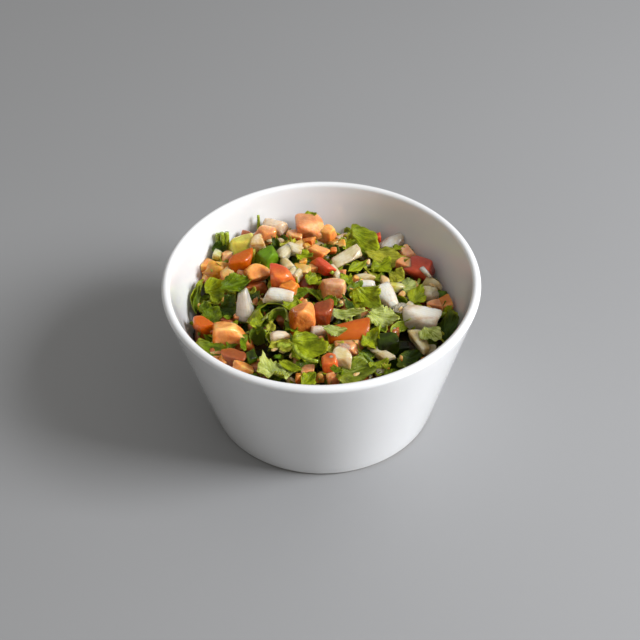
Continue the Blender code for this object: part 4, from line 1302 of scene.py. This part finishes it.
class PICO_OT_onion(bpy.types.Operator):
    """Adds the chopped onion: slabs of its layers, bent as the bulb was"""

    bl_idname = "pico.add_onion"
    bl_label = "Chopped Onion"

    def execute(self, context):
        draw, batch = draws(20), Batch()
        (fine, fine_faces), (coarse, coarse_faces) = grids()
        for at, size, angles, (bend, taper, tone) in map(split, ONION_PIECES):
            points, edge = bent_slab(draw, fine, size, bend, taper)
            place = own_place(draw, points)
            batch.add(points, fine_faces, at, angles, place=place, tone=onion_tones(place, tone, edge))
        for at, size, layer, angles in fillers("onion"):
            shape = [size * draw.uniform(*span) for span in ((0.9, 1.3), (0.5, 0.8), (0.3, 0.5))]
            points, edge = bent_slab(draw, coarse, shape, draw.uniform(0.1, 0.5), draw.uniform(0, 0.4))
            place = own_place(draw, points)
            tones = onion_tones(place, draw.choice(ONION_CHOICES[layer]), edge)
            batch.add(points, coarse_faces, at, angles, place=place, tone=tones)
        batch.build("chopped_onion", onion_material(colours()))
        return {"FINISHED"}


class PICO_OT_chilli(bpy.types.Operator):
    """Adds the diced green chilli"""

    bl_idname = "pico.add_chilli"
    bl_label = "Green Chilli"

    def execute(self, context):
        draw, batch = draws(30), Batch()
        (fine, fine_faces), (coarse, coarse_faces) = grids()
        for at, size, angles, (side, light) in map(split, CHILLI_PIECES):
            points, skin, _ = cut_cube(draw, fine, size, side, 20, skew=0.16, waver=0.04)
            place = own_place(draw, points)
            # Painted shade: a named piece's lightness darkens it where it lies in shadow
            batch.add(points, fine_faces, at, angles, place=place, skin=skin, tone=[light] * 3)
        for at, size, _, angles in fillers("chilli"):
            shape, side = size * draw.uniform(0.45, 0.85, 3), draw.choice(("top", "left", "front"))
            points, skin, _ = cut_cube(draw, coarse, shape, side, 16, skew=0.16, waver=0.04)
            place, light = own_place(draw, points), draw.uniform(0.5, 1.0)
            batch.add(points, coarse_faces, at, angles, place=place, skin=skin, tone=[light] * 3)
        batch.build("green_chilli", chilli_material(colours()))
        return {"FINISHED"}


class PICO_OT_leaves(bpy.types.Operator):
    """Adds the coriander leaves: thin waved blades, some curled on edge"""

    bl_idname = "pico.add_leaves"
    bl_label = "Coriander Leaves"

    def execute(self, context):
        draw, batch = draws(40), Batch()
        grid, thickness = (sizes().leaf_spokes, 6), sizes().leaf_thickness / MM
        for row in LEAVES:
            at, (length, width), angles, (curl, outline, tone) = split(row, 2)
            points, blade = leaf_body(draw, length, width, curl, OUTLINES[outline], *grid, thickness)
            place = own_place(draw, points)
            tones = leaf_tones_with_painted_light(draw, blade, tone)
            batch.add(points, leaf_faces(*grid), at, angles, place=place, blade=blade, tone=tones)
        for x, y, lift, radius, width, lean, sweep, turn, tone in CURLED_LEAVES:
            points, blade = strip_body(draw, radius, width, sweep, lean)
            place = own_place(draw, points)
            tones, faces = leaf_tones_with_painted_light(draw, blade, tone), ring_body(*STRIP_GRID)
            batch.add(points, faces, (x, y, lift), (turn, 0, 0), place=place, blade=blade, tone=tones)
        for at, size, layer, (turn, tilt, roll) in fillers("leaf"):
            length, width = size * draw.uniform(1.2, 2.0), size * draw.uniform(0.5, 1.1)
            outline = OUTLINES[LEAF_OUTLINES[draw.integers(len(LEAF_OUTLINES))]]
            grid, curl = LEAF_GRIDS[layer], draw.uniform(0.2, 1.4)
            points, blade = leaf_body(draw, length, width, curl, outline, *grid, thickness)
            place, angles = own_place(draw, points), (turn, tilt * 1.5, roll * 1.5)
            tones = leaf_tones_with_painted_light(draw, blade, draw.choice(LEAF_CHOICES[layer]))
            batch.add(points, leaf_faces(*grid), at, angles, place=place, blade=blade, tone=tones)
        batch.build("coriander_leaves", leaf_material(colours()))
        return {"FINISHED"}


class PICO_OT_stems(bpy.types.Operator):
    """Adds the coriander stems"""

    bl_idname = "pico.add_stems"
    bl_label = "Coriander Stems"

    def execute(self, context):
        draw, batch, rows = draws(50), Batch(), list(STEMS)
        # The lift, length, thickness, bend and turn of a loose stem lie between these
        spans = ((-1.4, 0.4), (5, 11), (1.0, 2.0), (5, 60), (0, 360))
        for at in zip(*scattered(5, STEM_STEP)[:2]):
            rows.append((*at, *[draw.uniform(*span) for span in spans], draw.normal(0, 12)))
        for x, y, lift, length, thickness, bend, turn, tilt in rows:
            points = stem_body(length, thickness, bend)
            place, angles = own_place(draw, points), (turn, tilt, 0)
            batch.add(points, ring_body(*STEM_GRID), (x, y, lift), angles, place=place, tone=tint("light"))
        batch.build("coriander_stems", stem_material(colours()))
        return {"FINISHED"}


class PICO_OT_seeds(bpy.types.Operator):
    """Adds the tomato seeds and the gel round them"""

    bl_idname = "pico.add_seeds"
    bl_label = "Seeds and Gel"

    def execute(self, context):
        draw, batch, rows = draws(60), Batch(), list(SEEDS)
        faces = ring_body(*DROP_GRID)
        for at in zip(*scattered(6, SEED_STEP)[:2]):
            rows.append((*at, draw.uniform(0.6, 2.4), draw.uniform(0, 360), draw.normal(0, 20)))
        for *at, turn, tilt in rows:
            points = drop_body(draw.uniform(2.4, 3.1), draw.uniform(1.7, 2.1), 0.9, 0.45)
            place, angles = own_place(draw, points), (turn, tilt, draw.normal(0, 15))
            batch.add(points, faces, at, angles, place=place, tone=tint("seed"))
        batch.build("tomato_seeds", seed_material(colours()))
        batch = Batch()
        for *at, length, width, height in GEL_DROPS:
            points = drop_body(length, width, height, 0.1)
            place, angles = own_place(draw, points), (draw.uniform(0, 360), 0, 0)
            batch.add(points, faces, at, angles, place=place, tone=tint("gel"))
        batch.build("tomato_gel", gel_material(colours()))
        return {"FINISHED"}


# The floor's half side and the lamps' distance, in metres
FLOOR_HALF = 2.5
LAMP_DISTANCE = 1.1

# The photograph's camera: its distance, focal length in pixels, its small roll, and the pixel where
# the middle of the bowl's axis lies
CAMERA_DISTANCE = 0.480
FOCAL_PIXELS = 1222.4
PHOTO_SIDE = 640
CAMERA_ROLL = -1.186
AXIS_PIXEL = (321.87, 334.86)
SENSOR = 36.0


def facing(heading, climb):
    """The axes right, up and back of a lamp or camera that looks at the origin from that heading
    and climb, in degrees."""
    return (about(2, heading) @ about(1, -climb))[:, [1, 2, 0]]


def stand(scene, name, data, axes, spot):
    """Adds a lamp or camera at the spot, turned to the axes."""
    thing = bpy.data.objects.new(name, data)
    scene.collection.objects.link(thing)
    placed = np.eye(4)
    placed[:3, :3], placed[:3, 3] = axes, spot
    thing.matrix_world = Matrix(placed.tolist())
    return thing


class PICO_OT_stage(bpy.types.Operator):
    """Adds the plain floor, the soft window light on the right, the room light and the camera"""

    bl_idname = "pico.add_stage"
    bl_label = "Studio and Camera"

    def execute(self, context):
        scene, light = context.scene, context.scene.pico_light
        self.floor(scene, light)
        self.room(scene, light)
        self.lamp(scene, light, "window_light", light.window_power, (0.42, 0.42), -14, 38)
        self.lamp(scene, light, "low_fill_light", light.fill_power, (0.3, 0.08), -8, 4)
        self.camera(scene)
        scene.view_settings.view_transform = "Standard"
        return {"FINISHED"}

    def floor(self, scene, light):
        """Adds a plain matte floor, mottled very faintly."""
        mesh = bpy.data.meshes.new("studio_floor")
        corners = [(FLOOR_HALF * x, FLOOR_HALF * y, 0) for x, y in ((-1, -1), (1, -1), (1, 1), (-1, 1))]
        mesh.from_pydata(corners, [], [(0, 1, 2, 3)])
        material = new_material("pale_matte_floor")
        place = node(material, "ShaderNodeTexCoord", out="Object")
        tone = patches(material, place, scale=3, low=0.3, high=0.7, detail=3)
        tone = node(material, "ShaderNodeMapRange", {"Value": tone, "To Min": 0.97})
        colour = node(material, **MULTIPLY, inputs={FACTOR: 1.0, FIRST: light.floor, SECOND: tone})
        shader = node(material, "ShaderNodeBsdfPrincipled", {"Base Color": colour, "Roughness": 0.55})
        node(material, "ShaderNodeOutputMaterial", {"Surface": shader})
        mesh.materials.append(material)
        floor = bpy.data.objects.new("studio_floor", mesh)
        scene.collection.objects.link(floor)

    def room(self, scene, light):
        """Lights the scene from all round, more from overhead than from beside."""
        world = bpy.data.worlds.new("room_light")
        world.use_nodes = True
        world.node_tree.nodes.clear()
        heading = node(world, "ShaderNodeTexCoord", out="Generated")
        climb = node(world, "ShaderNodeSeparateXYZ", {"Vector": heading}, out="Z")
        strength = node(
            world, "ShaderNodeMapRange",
            {"Value": climb, "From Max": 0.9, "To Min": light.room_beside, "To Max": light.room_above},
        )
        shader = node(world, "ShaderNodeBackground", {"Color": light.room, "Strength": strength})
        node(world, "ShaderNodeOutputWorld", {"Surface": shader})
        scene.world = world

    def lamp(self, scene, light, name, power, size, heading, climb):
        """Adds a soft rectangular light that faces the bowl from that heading and climb."""
        lamp = bpy.data.lights.new(name, "AREA")
        lamp.shape = "RECTANGLE"
        lamp.size, lamp.size_y = size
        lamp.energy = power
        lamp.color = tuple(light.window)
        axes = facing(heading, climb)
        stand(scene, name, lamp, axes, axes[:, 2] * LAMP_DISTANCE)

    def camera(self, scene):
        """Stands the camera at its distance along the line of sight, then turns it about its own
        middle so that the bowl's axis falls on its pixel, and rolls it."""
        camera = bpy.data.cameras.new("photo_camera")
        camera.sensor_width = SENSOR
        camera.lens = FOCAL_PIXELS * SENSOR / PHOTO_SIDE
        camera.clip_start = 0.01
        axes = facing(-90, LOOK_DOWN)
        spot = np.array([0, 0, BOWL_HEIGHT / 2 * MM]) + axes[:, 2] * CAMERA_DISTANCE
        aside = [math.degrees(math.atan((pixel - PHOTO_SIDE / 2) / FOCAL_PIXELS)) for pixel in AXIS_PIXEL]
        axes = axes @ about(1, aside[0]) @ about(0, aside[1]) @ about(2, CAMERA_ROLL)
        scene.camera = stand(scene, "photo_camera", camera, axes, spot)


OPERATORS = (
    PICO_OT_bowl, PICO_OT_mash, PICO_OT_tomato, PICO_OT_onion, PICO_OT_chilli, PICO_OT_leaves,
    PICO_OT_stems, PICO_OT_seeds, PICO_OT_stage,
)


class PICO_PT_panel(bpy.types.Panel):
    """Lists the pieces in the sidebar"""

    bl_idname = "PICO_PT_panel"
    bl_label = "Pico de Gallo"
    bl_space_type = "VIEW_3D"
    bl_region_type = "UI"
    bl_category = "Pico de Gallo"

    def draw(self, context):
        for operator in OPERATORS:
            self.layout.operator(operator.bl_idname)
        for group in (context.scene.pico_sizes, context.scene.pico_light, context.scene.pico_colours):
            box = self.layout.box()
            for name in group.__annotations__:
                box.prop(group, name)


GROUPS = {"pico_colours": PicoColours, "pico_sizes": PicoSizes, "pico_light": PicoLight}


def register():
    for made in (*GROUPS.values(), *OPERATORS, PICO_PT_panel):
        bpy.utils.register_class(made)
    for name, group in GROUPS.items():
        setattr(bpy.types.Scene, name, bpy.props.PointerProperty(type=group))


def unregister():
    for name in GROUPS:
        delattr(bpy.types.Scene, name)
    for made in (PICO_PT_panel, *OPERATORS, *GROUPS.values()):
        bpy.utils.unregister_class(made)


def corners(box):
    """A box's two corners as plain lists."""
    return [[float(v) for v in corner] for corner in box]


def main():
    """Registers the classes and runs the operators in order."""
    register()
    bpy.ops.pico.add_bowl()
    bpy.ops.pico.add_mash()
    bpy.ops.pico.add_tomato()
    bpy.ops.pico.add_onion()
    bpy.ops.pico.add_chilli()
    bpy.ops.pico.add_leaves()
    bpy.ops.pico.add_stems()
    bpy.ops.pico.add_seeds()
    bpy.ops.pico.add_stage()


if __name__ == "__main__":
    main()
